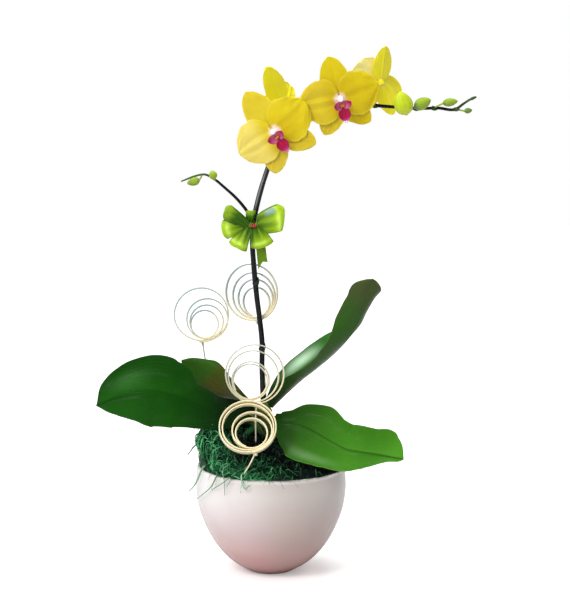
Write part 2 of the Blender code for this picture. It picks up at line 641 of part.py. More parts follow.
def bow_tie():
    centre = np.array(BOW_CENTRE)
    loop = closed_tube([centre + place for place in TIE_ROUTE], TIE_RADIUS, 5)
    front = centre + TIE_ROUTE[0]
    knot = tube([front + (d, -0.2, 0) for d in (-3.0, -1.4, 1.4, 3.0)], [0.7, 1.4, 1.4, 0.7], 6)
    join("bow_tie", [loop, knot], finish("tie", (0.55, 0.10, 0.08), 0.5))


def pick_plane(pick):
    lean, turn = math.radians(pick["lean"]), math.radians(pick["turn"])
    axis = np.array([math.sin(turn) * math.cos(lean), -math.cos(turn) * math.cos(lean), math.sin(lean)])
    right = unit(np.cross((0, 0, 1), axis))
    return right, np.cross(axis, right), axis


def pick_path(pick, steps=14):
    # Loops of falling radius that all touch at the gather, each set inside the one before.
    right, top, axis = pick_plane(pick)
    radii = pick["radii"]
    gather = math.radians(pick["gather"])
    centre = np.array(pick["centre"], float)
    inward = -(math.cos(gather) * right + math.sin(gather) * top)
    swing = -(-math.sin(gather) * right + math.cos(gather) * top)
    start = centre - inward * radii[0]
    path = []
    for i in range(len(radii) * steps - 1):
        turns = i / steps
        radius = radii[int(turns)]
        angle = 2 * math.pi * turns
        path.append(start + inward * pick["strip"][1] * turns
                    + radius * (inward * (1 - math.cos(angle)) - swing * math.sin(angle)))
    return np.array(path), axis


def pick_strip(pick):
    path, axis = pick_path(pick)
    tangents = unit(np.gradient(path, axis=0))
    points, faces = [], []
    for place, tangent in zip(path, tangents):
        across = np.cross(tangent, axis) * pick["strip"][0] / 2
        wide = axis * STRIP_WIDTH / 2
        points += [place - across - wide, place + across - wide, place + across + wide, place - across + wide]
    last = len(path) - 1
    for i in range(last):
        for k in range(4):
            a, b = i * 4 + k, i * 4 + (k + 1) % 4
            faces.append((a, a + 4, b + 4, b))
    faces += [(0, 1, 2, 3), tuple(last * 4 + k for k in (3, 2, 1, 0))]
    return np.array(points), faces


def pick_stem(pick, extra=0.0):
    right, top, axis = pick_plane(pick)
    foot, gather = math.radians(pick["foot"]), math.radians(pick["gather"])
    out = math.cos(foot) * right + math.sin(foot) * top
    inward = -(math.cos(gather) * right + math.sin(gather) * top)
    turns = (pick["foot"] - pick["gather"]) % 360 / 360
    rim = np.array(pick["centre"], float) + out * pick["radii"][0] + inward * pick["strip"][1] * turns
    route = smooth_route([rim - out * 0.7, rim + out * 2] + pick["stem"], 10)
    route[-1][2] -= extra
    return tube(route, STEM_RADIUS + extra, 5)


def ring_picks():
    for number, pick in enumerate(RING_PICKS, 1):
        join(f"ring_pick_{number}", [pick_strip(pick), pick_stem(pick)], finish("cane", (0.82, 0.72, 0.45), 0.45))


def potting_bark():
    profile = [(0, POT_FLOOR + GAP), (inside_radius(POT_FLOOR) - 9, POT_FLOOR + GAP)]
    for height in (18.0, 38.0, 62.0, BARK_TOP):
        profile.append((inside_radius(height) - GAP - 0.8, height))
    profile.append((0, BARK_TOP))
    thing = add_object("potting_bark", lathe(profile, 18), finish("bark", (0.14, 0.08, 0.04), 0.9))
    cut(thing, crown_shapes(GAP) + [pick_stem(pick, GAP) for pick in RING_PICKS])


def moss_height(x, y):
    edge = max(0.0, 1 - (x * x + y * y) / MOSS_RADIUS**2)
    tuft = math.exp(-(((x - MOSS_TUFT[0]) / 20) ** 2 + ((y - MOSS_TUFT[1]) / 32) ** 2))
    heap = math.exp(-(((x - MOSS_HEAP[0]) / 20) ** 2 + ((y - MOSS_HEAP[1]) / 24) ** 2))
    return MOSS_EDGE_HEIGHT + MOSS_DOME * edge**0.8 + MOSS_TUFT[2] * tuft + MOSS_HEAP[2] * heap


def moss_mound(draw, sides=22, rings=6):
    # The mound bulges a little past the mouth, over the rim.
    wall = (POT_OUTSIDE[-1][0] - POT_WALL) * math.cos(math.pi / POT_SIDES) - GAP
    points, faces = [(0, 0, MOSS_BOTTOM)], []
    for radius, height in ((wall, MOSS_BOTTOM), (wall, POT_HEIGHT + GAP + 0.4),
                           (MOSS_RADIUS - 1.5, POT_HEIGHT + GAP + 0.5)):
        for k in range(sides):
            angle = 2 * math.pi * k / sides
            points.append((radius * math.cos(angle), radius * math.sin(angle), height))
    for i in range(rings):
        radius = MOSS_RADIUS * (1 - i / rings)
        for k in range(sides):
            angle = 2 * math.pi * k / sides
            x, y = radius * math.cos(angle), radius * math.sin(angle)
            points.append((x, y, moss_height(x, y) + draw.uniform(-1.6, 1.2)))
    points.append((0, 0, moss_height(0, 0)))
    count = 3 + rings
    for k in range(sides):
        n = (k + 1) % sides
        faces.append((0, 1 + n, 1 + k))
        for i in range(count - 1):
            low, high = 1 + i * sides, 1 + (i + 1) * sides
            faces.append((low + k, low + n, high + n, high + k))
        top = 1 + (count - 1) * sides
        faces.append((top + k, top + n, len(points) - 1))
    return np.array(points, float), faces


def moss_strand(draw, keep_clear):
    # A thin curl of fibre with both ends in the mound. None where it would meet another piece.
    angle = draw.uniform(0, 2 * math.pi)
    radius = MOSS_RADIUS * math.sqrt(draw.uniform(0.03, 0.9))
    x, y = radius * math.cos(angle), radius * math.sin(angle)
    heading = draw.uniform(0, 2 * math.pi)
    reach, rise, sway = draw.uniform(11, 21), draw.uniform(2.5, 5.5), draw.uniform(-5, 5)
    points = []
    for t, lift in ((-1, -4), (-0.55, 0.5 * rise), (0, rise), (0.55, 0.5 * rise), (1, -4)):
        px = x + math.cos(heading) * reach * t - math.sin(heading) * sway * (1 - t * t)
        py = y + math.sin(heading) * reach * t + math.cos(heading) * sway * (1 - t * t)
        if math.hypot(px, py) > MOSS_RADIUS - 2:
            return None
        pz = moss_height(px, py) + lift
        for (cx, cy, clear) in keep_clear:
            if math.hypot(px - cx, py - cy) < clear:
                return None
        points.append((px, py, pz))
    return tube(smooth_route(points, 5), STRAND_RADIUS, 3)


def moss():
    draw = random.Random(7)
    keep_clear = [(-6, 6, 19), (-28, -19, 10), (16, -44, 10)]
    keep_clear += [(pick["stem"][-2][0], pick["stem"][-2][1], 7) for pick in RING_PICKS]
    shapes = [moss_mound(draw)]
    while len(shapes) <= MOSS_STRANDS:
        strand = moss_strand(draw, keep_clear)
        if strand:
            shapes.append(strand)
    for points in HANGING_STRANDS:
        shapes.append(tube(smooth_route(points, 7), STRAND_RADIUS, 3))
    thing = join("moss", shapes, finish("moss", (0.05, 0.20, 0.07), 0.8))
    cut(thing, [crown_shapes(GAP)[0], aerial_root(GAP)])
    cut(thing, [pick_stem(pick, GAP) for pick in RING_PICKS])


def main():
    clear_scene()
    pot()
    potting_bark()
    moss()
    crown()
    leaf("leaf_left", LEAF_LEFT, (0.02, 0.11, 0.02))
    leaf("leaf_back", LEAF_BACK, (0.06, 0.09, 0.03))
    leaf("leaf_upright", LEAF_UPRIGHT, (0.06, 0.15, 0.04))
    leaf("leaf_right", LEAF_RIGHT, (0.06, 0.23, 0.03))
    flower_spike()
    blooms()
    buds()
    ribbon_bow()
    bow_tie()
    ring_picks()


main()
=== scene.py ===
import math
import random

import bpy
import numpy as np
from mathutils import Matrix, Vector


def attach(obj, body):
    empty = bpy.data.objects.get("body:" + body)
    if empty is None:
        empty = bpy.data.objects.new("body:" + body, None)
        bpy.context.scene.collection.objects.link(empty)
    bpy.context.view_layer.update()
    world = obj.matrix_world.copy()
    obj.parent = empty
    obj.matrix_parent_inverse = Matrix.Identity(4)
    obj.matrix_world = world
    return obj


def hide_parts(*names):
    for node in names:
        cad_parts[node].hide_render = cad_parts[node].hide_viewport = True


# Potted moth orchid. Tables are in millimetres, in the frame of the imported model.
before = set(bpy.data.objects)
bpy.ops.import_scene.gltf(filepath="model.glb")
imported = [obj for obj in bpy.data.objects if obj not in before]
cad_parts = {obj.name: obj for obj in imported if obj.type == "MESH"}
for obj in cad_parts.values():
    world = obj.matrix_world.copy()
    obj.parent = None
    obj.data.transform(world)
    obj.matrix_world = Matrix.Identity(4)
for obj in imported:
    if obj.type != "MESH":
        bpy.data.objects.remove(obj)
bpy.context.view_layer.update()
mm = 0.001


# Shapes are kept as (points, faces, values): values hold a number for each point, such as along
# and across, which the materials read.
def unitOf(vector):
    vector = np.asarray(vector, float)
    return vector / np.maximum(np.linalg.norm(vector, axis=-1, keepdims=True), 1e-9)


def spun(first, second, degrees):
    # Two coordinates turned about the third.
    c, s = math.cos(math.radians(degrees)), math.sin(math.radians(degrees))
    return first * c - second * s, first * s + second * c


def facing(turn, lift):
    # The right, top and face directions of a flat thing that is turned and lifted by degrees.
    turn, lift = math.radians(turn), math.radians(lift)
    face = np.array([math.sin(turn) * math.cos(lift), -math.cos(turn) * math.cos(lift), math.sin(lift)])
    right = unitOf(np.cross((0, 0, 1), face))
    return right, np.cross(face, right), face


def smoothRoute(points, count):
    knots = np.array(points, float)
    spans = np.linalg.norm(np.diff(knots[:, :3], axis=0), axis=1)
    along = np.concatenate([[0.0], np.cumsum(spans)])
    slopes = np.gradient(knots, along, axis=0)
    rows = []
    for place in np.linspace(0.0, along[-1], count + 1):
        i = min(int(np.searchsorted(along, place, side="right")) - 1, len(spans) - 1)
        t = (place - along[i]) / spans[i]
        rows.append(
            knots[i] * (2 * t**3 - 3 * t**2 + 1) + knots[i + 1] * (3 * t**2 - 2 * t**3)
            + (slopes[i] * (t**3 - 2 * t**2 + t) + slopes[i + 1] * (t**3 - t**2)) * spans[i])
    return np.array(rows)


def taper(count, places, radii):
    # Radii at count + 1 places along a route.
    return np.interp(np.linspace(0, 1, count + 1), places, radii)


def ringFaces(rings, sides, start=0):
    # Faces that join rings of points, each ring to the next.
    faces = []
    for i in range(rings - 1):
        for k in range(sides):
            a, b = start + i * sides + k, start + i * sides + (k + 1) % sides
            faces.append((a, b, b + sides, a + sides))
    return faces


def tubeShape(route, radii, sides, flat=1.0, lobes=0, lobeDepth=0.0, tone=0.0):
    # Closed tube with rounded ends. lobes presses that many creases into its sides.
    route = np.asarray(route, float)
    radii = np.broadcast_to(np.asarray(radii, float), len(route))
    tangents = unitOf(np.gradient(route, axis=0))
    normal = unitOf(np.cross(tangents[0], (0.31, 0.87, 0.22)))
    points, along, across = [], [], []
    last = len(route) - 1
    for i in range(last + 1):
        tangent = tangents[i]
        normal = unitOf(normal - tangent * np.dot(normal, tangent))
        side = np.cross(tangent, normal)
        angles = 2 * math.pi * np.arange(sides) / sides
        swell = np.ones(sides)
        if lobes:
            crease = np.abs(((angles * lobes / (2 * math.pi)) % 1) - 0.5) * 2
            swell = 1 - lobeDepth * np.exp(-((1 - crease) / 0.22) ** 2)
        ring = route[i] + radii[i] * swell[:, None] * (
            np.cos(angles)[:, None] * normal + flat * np.sin(angles)[:, None] * side)
        points.append(ring)
        along += [i / last] * sides
        across += list(np.arange(sides) / sides)
    points = np.concatenate(points + [route[:1] - tangents[:1] * radii[0] * 0.35,
                                      route[-1:] + tangents[-1:] * radii[-1] * 0.35])
    faces = ringFaces(last + 1, sides)
    low, high = len(points) - 2, len(points) - 1
    for k in range(sides):
        n = (k + 1) % sides
        faces.append((low, n, k))
        faces.append((high, last * sides + k, last * sides + n))
    values = {"along": np.array(along + [0.0, 1.0]), "across": np.array(across + [0.0, 0.0])}
    values["tone"] = np.full(len(points), float(tone))
    return points, faces, values


def gridOf(rows, columns, place):
    # place(t, s) gives a point for t from 0 to 1 along and s from -1 to 1 across.
    return np.array([[place(i / rows, k / columns) for k in range(-columns, columns + 1)]
                     for i in range(rows + 1)])


def slabShape(surface, thickness, tone=0.0, lengths=None):
    # Thin closed body about a grid of points. side is 0 on the upper face and 1 below.
    rows, columns = surface.shape[:2]
    normal = unitOf(np.cross(np.gradient(surface, axis=0), np.gradient(surface, axis=1)))
    half = normal * np.broadcast_to(thickness, (rows, columns))[..., None] / 2
    points = np.concatenate([(surface + half).reshape(-1, 3), (surface - half).reshape(-1, 3)])
    under = rows * columns
    faces = []
    for i in range(rows - 1):
        for j in range(columns - 1):
            a, b = i * columns + j, (i + 1) * columns + j
            faces.append((a, b, b + 1, a + 1))
            faces.append((a + 1 + under, b + 1 + under, b + under, a + under))
    edge = [i * columns for i in range(rows)]
    edge += [(rows - 1) * columns + j for j in range(1, columns)]
    edge += [i * columns + columns - 1 for i in range(rows - 2, -1, -1)]
    edge += [j for j in range(columns - 2, 0, -1)]
    for a, b in zip(edge, edge[1:] + edge[:1]):
        faces.append((b, a, a + under, b + under))
    along = np.repeat(np.linspace(0, 1, rows) if lengths is None else lengths, columns)
    across = np.tile(np.linspace(-1, 1, columns), rows)
    values = {"along": np.tile(along, 2), "across": np.tile(across, 2),
              "side": np.repeat([0.0, 1.0], under), "tone": np.full(2 * under, float(tone))}
    return points, faces, values


def latheShape(profile, sides):
    points, faces, rings = [], [], []
    turns = [2 * math.pi * k / sides for k in range(sides)]
    for radius, height in profile:
        start = len(points)
        if radius == 0:
            points.append((0, 0, height))
        else:
            points += [(radius * math.cos(turn), radius * math.sin(turn), height) for turn in turns]
        rings.append(range(start, len(points)))
    for low, high in zip(rings, rings[1:]):
        for k in range(sides):
            n = (k + 1) % sides
            if len(low) == 1:
                faces.append((low[0], high[n], high[k]))
            elif len(high) == 1:
                faces.append((low[k], low[n], high[0]))
            else:
                faces.append((low[k], low[n], high[n], high[k]))
    return np.array(points, float), faces, {}


def fused(shapes):
    # Several shapes as one; a value that a shape lacks is 0.
    names = sorted({name for shape in shapes for name in shape[2]})
    points, faces, start = [], [], 0
    values = {name: [] for name in names}
    for shape in shapes:
        points.append(shape[0])
        faces += [tuple(index + start for index in face) for face in shape[1]]
        start += len(shape[0])
        for name in names:
            values[name].append(shape[2].get(name, np.zeros(len(shape[0]))))
    return np.concatenate(points), faces, {name: np.concatenate(values[name]) for name in names}


def addObject(name, data):
    made = bpy.data.objects.new(name, data)
    bpy.context.scene.collection.objects.link(made)
    return made


def addPiece(name, shape, material, stands, crease):
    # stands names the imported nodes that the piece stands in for; crease is in degrees.
    points, faces, values = shape
    mesh = bpy.data.meshes.new(name)
    mesh.from_pydata([tuple(p) for p in np.asarray(points, float) * mm], [], faces)
    for key, numbers in values.items():
        layer = mesh.attributes.new(key, "FLOAT", "POINT")
        layer.data.foreach_set("value", np.asarray(numbers, np.float32))
    mesh.materials.append(material)
    mesh.shade_smooth()
    mesh.set_sharp_from_angle(angle=math.radians(crease))
    piece = addObject(name, mesh)
    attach(piece, "root")
    if stands:
        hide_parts(*stands)
    return piece


def ripple(values, seed, waves=5):
    # Smooth seeded noise from a few sines, about -1 to 1.
    draw = random.Random(seed)
    total = np.zeros_like(np.asarray(values, float))
    for n in range(waves):
        total = total + math.pow(0.75, n) * np.sin(values * draw.uniform(0.6, 1.4) * (n + 1)
                                                   + draw.uniform(0, 6.28))
    return total / 2.2


def within(value, low=0.0, high=1.0):
    return min(high, max(low, value))


# Materials
def colour(text, gain=1.0):
    parts = [int(text[i:i + 2], 16) / 255 for i in (1, 3, 5)]
    linear = [p / 12.92 if p <= 0.04045 else ((p + 0.055) / 1.055) ** 2.4 for p in parts]
    return (*[p * gain for p in linear], 1.0)


def addNode(tree, kind, **settings):
    made = tree.nodes.new("ShaderNode" + kind)
    for key, value in settings.items():
        setattr(made, key, value)
    return made


def feed(tree, socket, source):
    # A plain value or a hex colour is set on the socket, anything else is linked to it.
    if isinstance(source, str):
        source = colour(source)
    if isinstance(source, (int, float, tuple)):
        socket.default_value = source
    else:
        tree.links.new(source, socket)


def mathNode(tree, operation, first, second=0.0):
    made = addNode(tree, "Math", operation=operation)
    feed(tree, made.inputs[0], first)
    feed(tree, made.inputs[1], second)
    return made.outputs[0]


def times(tree, first, second):
    return mathNode(tree, "MULTIPLY", first, second)


def plus(tree, first, second):
    return mathNode(tree, "ADD", first, second)


def mixColour(tree, factor, first, second):
    made = addNode(tree, "Mix", data_type="RGBA")
    for number, source in ((0, factor), (6, first), (7, second)):
        feed(tree, made.inputs[number], source)
    return made.outputs[2]


def span(tree, value, low, high, toLow=0.0, toHigh=1.0):
    made = addNode(tree, "MapRange", interpolation_type="SMOOTHSTEP")
    for number, source in enumerate((value, low, high, toLow, toHigh)):
        feed(tree, made.inputs[number], source)
    return made.outputs[0]


def attribute(tree, name):
    return addNode(tree, "Attribute", attribute_name=name).outputs["Fac"]


def attributes(tree, *names):
    return [attribute(tree, name) for name in names]


def noise(tree, scale, detail=3.0, rough=0.55, place=None):
    # Noise over the object's own coordinates, in which 1 is a metre, unless it is given a place.
    made = addNode(tree, "TexNoise")
    if place is None:
        place = addNode(tree, "TexCoord").outputs["Object"]
    for label, source in (("Vector", place), ("Scale", scale), ("Detail", detail), ("Roughness", rough)):
        feed(tree, made.inputs[label], source)
    return made.outputs["Fac"]


def groupTree(name, inputs, outputs):
    tree = bpy.data.node_groups.new(name, "ShaderNodeTree")
    for label, start in inputs.items():
        kind = "NodeSocketColor" if isinstance(start, tuple) else "NodeSocketFloat"
        tree.interface.new_socket(label, in_out="INPUT", socket_type=kind).default_value = start
    for label in outputs:
        kind = "NodeSocketColor" if label == "Colour" else "NodeSocketFloat"
        tree.interface.new_socket(label, in_out="OUTPUT", socket_type=kind)
    return tree, tree.nodes.new("NodeGroupInput").outputs, tree.nodes.new("NodeGroupOutput").inputs


def makeVeinLines():
    # Lines that run along a leaf or petal and keep their place across it.
    tree, given, result = groupTree(
        "veinLines", {"Along": 0.0, "Across": 0.0, "Count": 9.0, "Waver": 0.3, "Sharpness": 4.0},
        ["Mask", "Height"])
    shift = times(tree, mathNode(tree, "SUBTRACT", noise(tree, 60.0, 2.0, 0.5), 0.5), given["Waver"])
    phase = times(tree, plus(tree, times(tree, given["Across"], given["Count"]), shift), math.pi)
    line = mathNode(tree, "SUBTRACT", 1.0, mathNode(tree, "ABSOLUTE", mathNode(tree, "SINE", phase)))
    mask = mathNode(tree, "POWER", line, given["Sharpness"])
    fade = times(tree, mask, span(tree, given["Along"], 1.0, 0.7, 0.25, 1.0))
    feed(tree, result["Mask"], fade)
    feed(tree, result["Height"], times(tree, fade, -1.0))
    return tree


def makeMottle():
    # Soft patches of a second colour over the first.
    tree, given, result = groupTree(
        "mottle", {"Colour": (1, 1, 1, 1), "Patch Colour": (0, 0, 0, 1), "Scale": 40.0, "Amount": 0.5},
        ["Colour", "Mask"])
    soft = span(tree, noise(tree, given["Scale"], 4.0, 0.5), 0.32, 0.68)
    mask = times(tree, soft, given["Amount"])
    feed(tree, result["Colour"], mixColour(tree, mask, given["Colour"], given["Patch Colour"]))
    feed(tree, result["Mask"], soft)
    return tree


def makeFibreGrain():
    # Long fine grain that follows a strip or a fibre.
    tree, given, result = groupTree(
        "fibreGrain",
        {"Colour": (1, 1, 1, 1), "Grain Colour": (0, 0, 0, 1), "Along": 0.0, "Across": 0.0,
         "Lines": 14.0, "Length": 6.0, "Amount": 0.5},
        ["Colour", "Height"])
    place = addNode(tree, "CombineXYZ")
    feed(tree, place.inputs["X"], times(tree, given["Along"], given["Length"]))
    feed(tree, place.inputs["Y"], times(tree, given["Across"], given["Lines"]))
    soft = span(tree, noise(tree, 1.0, 5.0, 0.5, place.outputs[0]), 0.35, 0.65)
    mask = times(tree, soft, given["Amount"])
    feed(tree, result["Colour"], mixColour(tree, mask, given["Colour"], given["Grain Colour"]))
    feed(tree, result["Height"], soft)
    return tree


veinLines, mottle, fibreGrain = makeVeinLines(), makeMottle(), makeFibreGrain()


def socketLabel(key):
    # patchColour stands for the socket Patch Colour.
    return "".join(" " + c if c.isupper() else c for c in key).title().replace("Ior", "IOR")


def placeGroup(tree, group, **given):
    made = addNode(tree, "Group")
    made.node_tree = group
    for key, source in given.items():
        feed(tree, made.inputs[socketLabel(key)], source)
    return made.outputs


def newMaterial(name, roughness, **fixed):
    material = bpy.data.materials.new(name)
    material.use_nodes = True
    shader = material.node_tree.nodes["Principled BSDF"]
    shader.inputs["Roughness"].default_value = roughness
    for key, value in fixed.items():
        shader.inputs[socketLabel(key)].default_value = value
    return material, material.node_tree


def finishMaterial(material, body, height, distance, strength, rough=None):
    # Links the colour, the relief (its distance in millimetres) and, if given, the roughness.
    tree = material.node_tree
    shader = tree.nodes["Principled BSDF"]
    feed(tree, shader.inputs["Base Color"], body)
    if rough is not None:
        feed(tree, shader.inputs["Roughness"], rough)
    bump = addNode(tree, "Bump")
    for label, source in (("Height", height), ("Distance", distance * mm), ("Strength", strength)):
        feed(tree, bump.inputs[label], source)
    feed(tree, shader.inputs["Normal"], bump.outputs[0])
    return material


print("frame and helpers ready")

# Pot
potSize = {
    "height": 108.5, "wall": 4.0, "footRadius": 22.0, "footRecess": 2.2,
    "outside": [(39.4, 10.7), (54.7, 26.6), (65.9, 46.1), (73.1, 66.2), (76.0, 88.0), (74.8, 105.5)],
    "floor": 7.0, "sides": 160,
    "glazeTop": "#efecec", "glazeMiddle": "#e4cbcd", "glazeFoot": "#f6b0ac", "shadeRight": "#7a6250",
    "shadeHeel": "#8a4a48", "lip": "#fbf8f6", "cloud": "#cdb5a6", "speck": "#a58f86"}


def potMaterial():
    material, tree = newMaterial("potGlaze", 0.16, coatWeight=0.6, coatRoughness=0.04)
    place = addNode(tree, "SeparateXYZ")
    feed(tree, place.inputs[0], addNode(tree, "TexCoord").outputs["Object"])
    height = place.outputs["Z"]
    level = plus(tree, height, times(tree, noise(tree, 14.0, 2.0), 0.016))
    lower = span(tree, level, 0.004, 0.062)
    body = mixColour(tree, lower, potSize["glazeFoot"], potSize["glazeMiddle"])
    body = mixColour(tree, span(tree, level, 0.045, 0.105), body, potSize["glazeTop"])
    # Painted shade: the glaze is darker toward the right side, deepest near the foot.
    rightward = plus(tree, place.outputs["X"], times(tree, noise(tree, 9.0, 2.0), 0.02))
    grey = times(tree, span(tree, rightward, -0.07, 0.05, 0.0, 0.52), span(tree, level, 0.0, 0.06, 0.6, 1.0))
    shaded = mixColour(tree, lower, potSize["shadeHeel"], potSize["shadeRight"])
    body = mixColour(tree, grey, body, shaded)
    # Painted highlight: the rim is made paler.
    body = mixColour(tree, span(tree, height, 0.1035, 0.1065, 0.0, 0.6), body, potSize["lip"])
    cloud = placeGroup(tree, mottle, colour=body, patchColour=potSize["cloud"], scale=18.0, amount=0.22)
    specks = times(tree, span(tree, noise(tree, 900.0, 1.0), 0.72, 0.80), 0.25)
    body = mixColour(tree, specks, cloud["Colour"], potSize["speck"])
    return finishMaterial(material, body, noise(tree, 55.0, 2.0), 0.35, 0.35,
                          span(tree, noise(tree, 30.0), 0.3, 0.7, 0.12, 0.24))


def potProfile():
    wall, height, base = potSize["wall"], potSize["height"], potSize["floor"]
    foot, recess = potSize["footRadius"], potSize["footRecess"]
    outside = smoothRoute([(foot, 0, 0)] + [(r, 0, z) for r, z in potSize["outside"]], 60)
    profile = [(0, recess), (foot - 6.5, recess), (foot - 5.2, recess - 0.5), (foot - 4.4, 0.5),
               (foot - 3.4, 0), (foot - 0.6, 0)]
    profile += [(row[0], row[2]) for row in outside[1:]]
    lip = outside[-1][0]
    for angle in range(0, 181, 20):
        turn = math.radians(angle)
        out = lip - wall / 2 + wall / 2 * math.cos(turn) - 0.1
        profile.append((out, height - 2.0 + 2.0 * math.sin(turn)))
    inner = [(row[0] - wall, row[2]) for row in outside[::-1] if base + 2 < row[2] < height - 4]
    return profile + inner[::3] + [(inner[-1][0] - 6, base), (0, base)]


addPiece("potBowl", latheShape(potProfile(), potSize["sides"]), potMaterial(), ["pot"], 50)
print("pot thrown and glazed")

# Leaves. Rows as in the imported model: midrib, half widths behind and in front, look and fold.
leafKinds = {
    "left": {
        "node": "leaf_left", "groove": 1.1, "wave": 0.5, "waves": 7.0, "seed": 3, "tip": 0.93,
        "shade": (0.56, 0.14, 0.88), "rib": 0.25, "tint": (0.85, 1.0, "#1b4d12", 0.2),
        "upper": "#144808", "patch": "#0d3a06", "vein": "#1c5812", "under": "#24500f", "edge": "#234f18",
        "sheen": (0.78, 0.16, -0.45, 0.5, "#3f7a35", 0.35),
        "rows": [
            (-11.4, 1.5, 160, 6, 8, 25, 45), (-24, 0, 160, 12, 14, 58, 40), (-37, -1, 161, 15, 18, 70, 32),
            (-55, -3, 163, 16, 22, 64, 24), (-71, -5, 170, 18, 29, 60, 16), (-83, -6, 176, 20, 33, 62, 12),
            (-92, -7, 180, 31, 36, 62, 10), (-101, -8, 182, 35, 37, 62, 10),
            (-115, -8, 185, 37, 40, 62, 10), (-131, -9, 185, 34, 38, 60, 10),
            (-146, -10, 182, 29, 30, 58, 10), (-159, -11, 178, 22, 21, 56, 8),
            (-169, -12, 174, 12, 11, 54, 6), (-175, -12, 171, 2, 2, 52, 4)]},
    "back": {
        "node": "leaf_back", "groove": 0.8, "wave": 0.5, "waves": 5.0, "seed": 5, "tip": 0.92,
        "shade": (0.40, 0.05, 0.55), "rib": 0.4, "tint": (0.58, 0.74, "#2a5a14", 0.85),
        "upper": "#4a4c18", "patch": "#3b3a12", "vein": "#5a5c22", "under": "#4a4a18", "edge": "#2a4512",
        "sheen": (0.95, 0.26, 0.0, 1.6, "#2f7015", 0.9),
        "rows": [
            (-10, 12, 160, 8, 7, 10, 45), (-19, 14, 163, 12, 8, -10, 38), (-28, 16, 169, 17, 9, -30, 30),
            (-43, 21, 178, 20, 14, -50, 22), (-57, 26, 186, 20, 19, -70, 14),
            (-69, 29, 195, 17, 19, -75, 12), (-80, 30, 204, 15, 10, -75, 10), (-87, 30, 208, 11, 5, -75, 8),
            (-91, 30, 210, 3, 2, -75, 5)]},
    "upright": {
        "node": "leaf_upright", "groove": 0.7, "wave": 0.5, "waves": 6.0, "seed": 8, "tip": 0.95,
        "shade": (0.24, 0.02, 0.6), "rib": 0.5, "tint": (0.78, 0.94, "#50502c", 0.45),
        "upper": "#346c28", "patch": "#28561c", "vein": "#4d8a3e", "under": "#2f5a1c", "edge": "#40502a",
        "sheen": (0.31, 0.19, -0.72, 0.34, "#c4e6c4", 0.95),
        "rows": [
            (1, 9, 165, 10, 9, 15, 52), (13, 10, 177, 18, 20, 10, 54), (30, 13, 192, 24, 28, 15, 44),
            (44, 15, 203, 25, 29, 16, 40), (57, 17, 213, 25, 29, 12, 43), (70, 19, 225, 25, 28, 2, 41),
            (80, 20, 236, 27, 27, -20, 35), (87, 21, 248, 26, 26, -35, 30), (92, 21, 261, 24, 24, -40, 28),
            (96, 21, 273, 21, 21, -49, 24), (99, 20, 285, 16.5, 19, -60, 10),
            (102.5, 19, 295, 9, 8, -60, 8)]},
    "right": {
        "node": "leaf_right", "groove": 1.2, "wave": 0.5, "waves": 6.0, "seed": 13, "tip": 0.95,
        "shade": (0.62, 0.05, 0.78), "rib": 0.75, "tint": (0.8, 1.0, "#4f9420", 0.4),
        "upper": "#3d7a1a", "patch": "#2f6a14", "vein": "#55902c", "under": "#3c6420", "edge": "#5f8c3c",
        "sheen": (0.36, 0.30, 0.72, 0.26, "#8cb47c", 0.4),
        "rows": [
            (2, 0, 155, 7, 8, 30, 42), (8, -8, 153, 11, 14, 45, 30), (19, -14, 153, 14, 28, 54, 20),
            (30, -19, 152, 23, 38, 58, 14), (45, -25, 146, 30.5, 41, 58, 14),
            (62, -30, 137, 26, 34, 58, 14), (75, -33, 131, 26.5, 27, 58, 12),
            (88, -35, 129, 26.5, 21, 58, 12), (102, -36, 127, 26, 14, 56, 10),
            (116, -37, 125, 27, 7, 54, 10), (123, -38, 124, 23, 5, 52, 8), (129, -38, 123, 14, 4, 52, 6),
            (132, -38, 122, 3, 2, 50, 4)]}}
leafMake = {"rows": 110, "columns": 18, "thickness": 1.7, "edge": 0.55, "arch": 0.10, "deep": "#06180a"}


def leafMaterial(kind, leaf):
    material, tree = newMaterial("leaf" + kind.capitalize(), 0.36, specularIorLevel=0.1)
    along, across, side = attributes(tree, "along", "across", "side")
    veins = placeGroup(tree, veinLines, along=along, across=across, count=11.0, waver=0.35, sharpness=5.0)
    skin = placeGroup(tree, mottle, colour=leaf["upper"], patchColour=leaf["patch"], scale=18.0, amount=0.6)
    upper = mixColour(tree, times(tree, veins["Mask"], 0.30), skin["Colour"], leaf["vein"])
    # A painted sheen (on the back leaf a green patch) lies in one place of the blade: where along, how long,
    # where across, how wide.
    place, breadth, seat, spread, gleam, amount = leaf["sheen"]
    reach = mathNode(tree, "ABSOLUTE", mathNode(tree, "SUBTRACT", along, place))
    band = mathNode(tree, "ABSOLUTE", mathNode(tree, "SUBTRACT", across, seat))
    lit = times(tree, span(tree, reach, breadth, 0.0), span(tree, band, spread, 0.0, 0.0, amount))
    upper = mixColour(tree, lit, upper, gleam)
    middle = mathNode(tree, "ABSOLUTE", across)
    # Painted shade: a darker line in the midrib groove.
    upper = mixColour(tree, span(tree, middle, 0.045, 0.0, 0.0, leaf["rib"]), upper,
                      colour(leaf["patch"], 0.4))
    below = placeGroup(tree, mottle, colour=leaf["under"], patchColour=leaf["edge"], scale=30.0, amount=0.6)
    body = mixColour(tree, side, upper, below["Colour"])
    body = mixColour(tree, span(tree, middle, 0.955, 1.0, 0.0, 0.8), body, leaf["edge"])
    start, end, tint, amount = leaf["tint"]
    body = mixColour(tree, span(tree, along, start, end, 0.0, amount), body, tint)
    # Painted shade: the blade darkens toward its base at the crown.
    high, low, dark = leaf["shade"]
    body = mixColour(tree, span(tree, along, high, low, 0.0, dark), body, leafMake["deep"])
    relief = plus(tree, veins["Height"], times(tree, noise(tree, 420.0), 0.5))
    return finishMaterial(material, body, relief, 0.22, 0.55,
                          span(tree, noise(tree, 45.0), 0.3, 0.75, 0.2, 0.3))


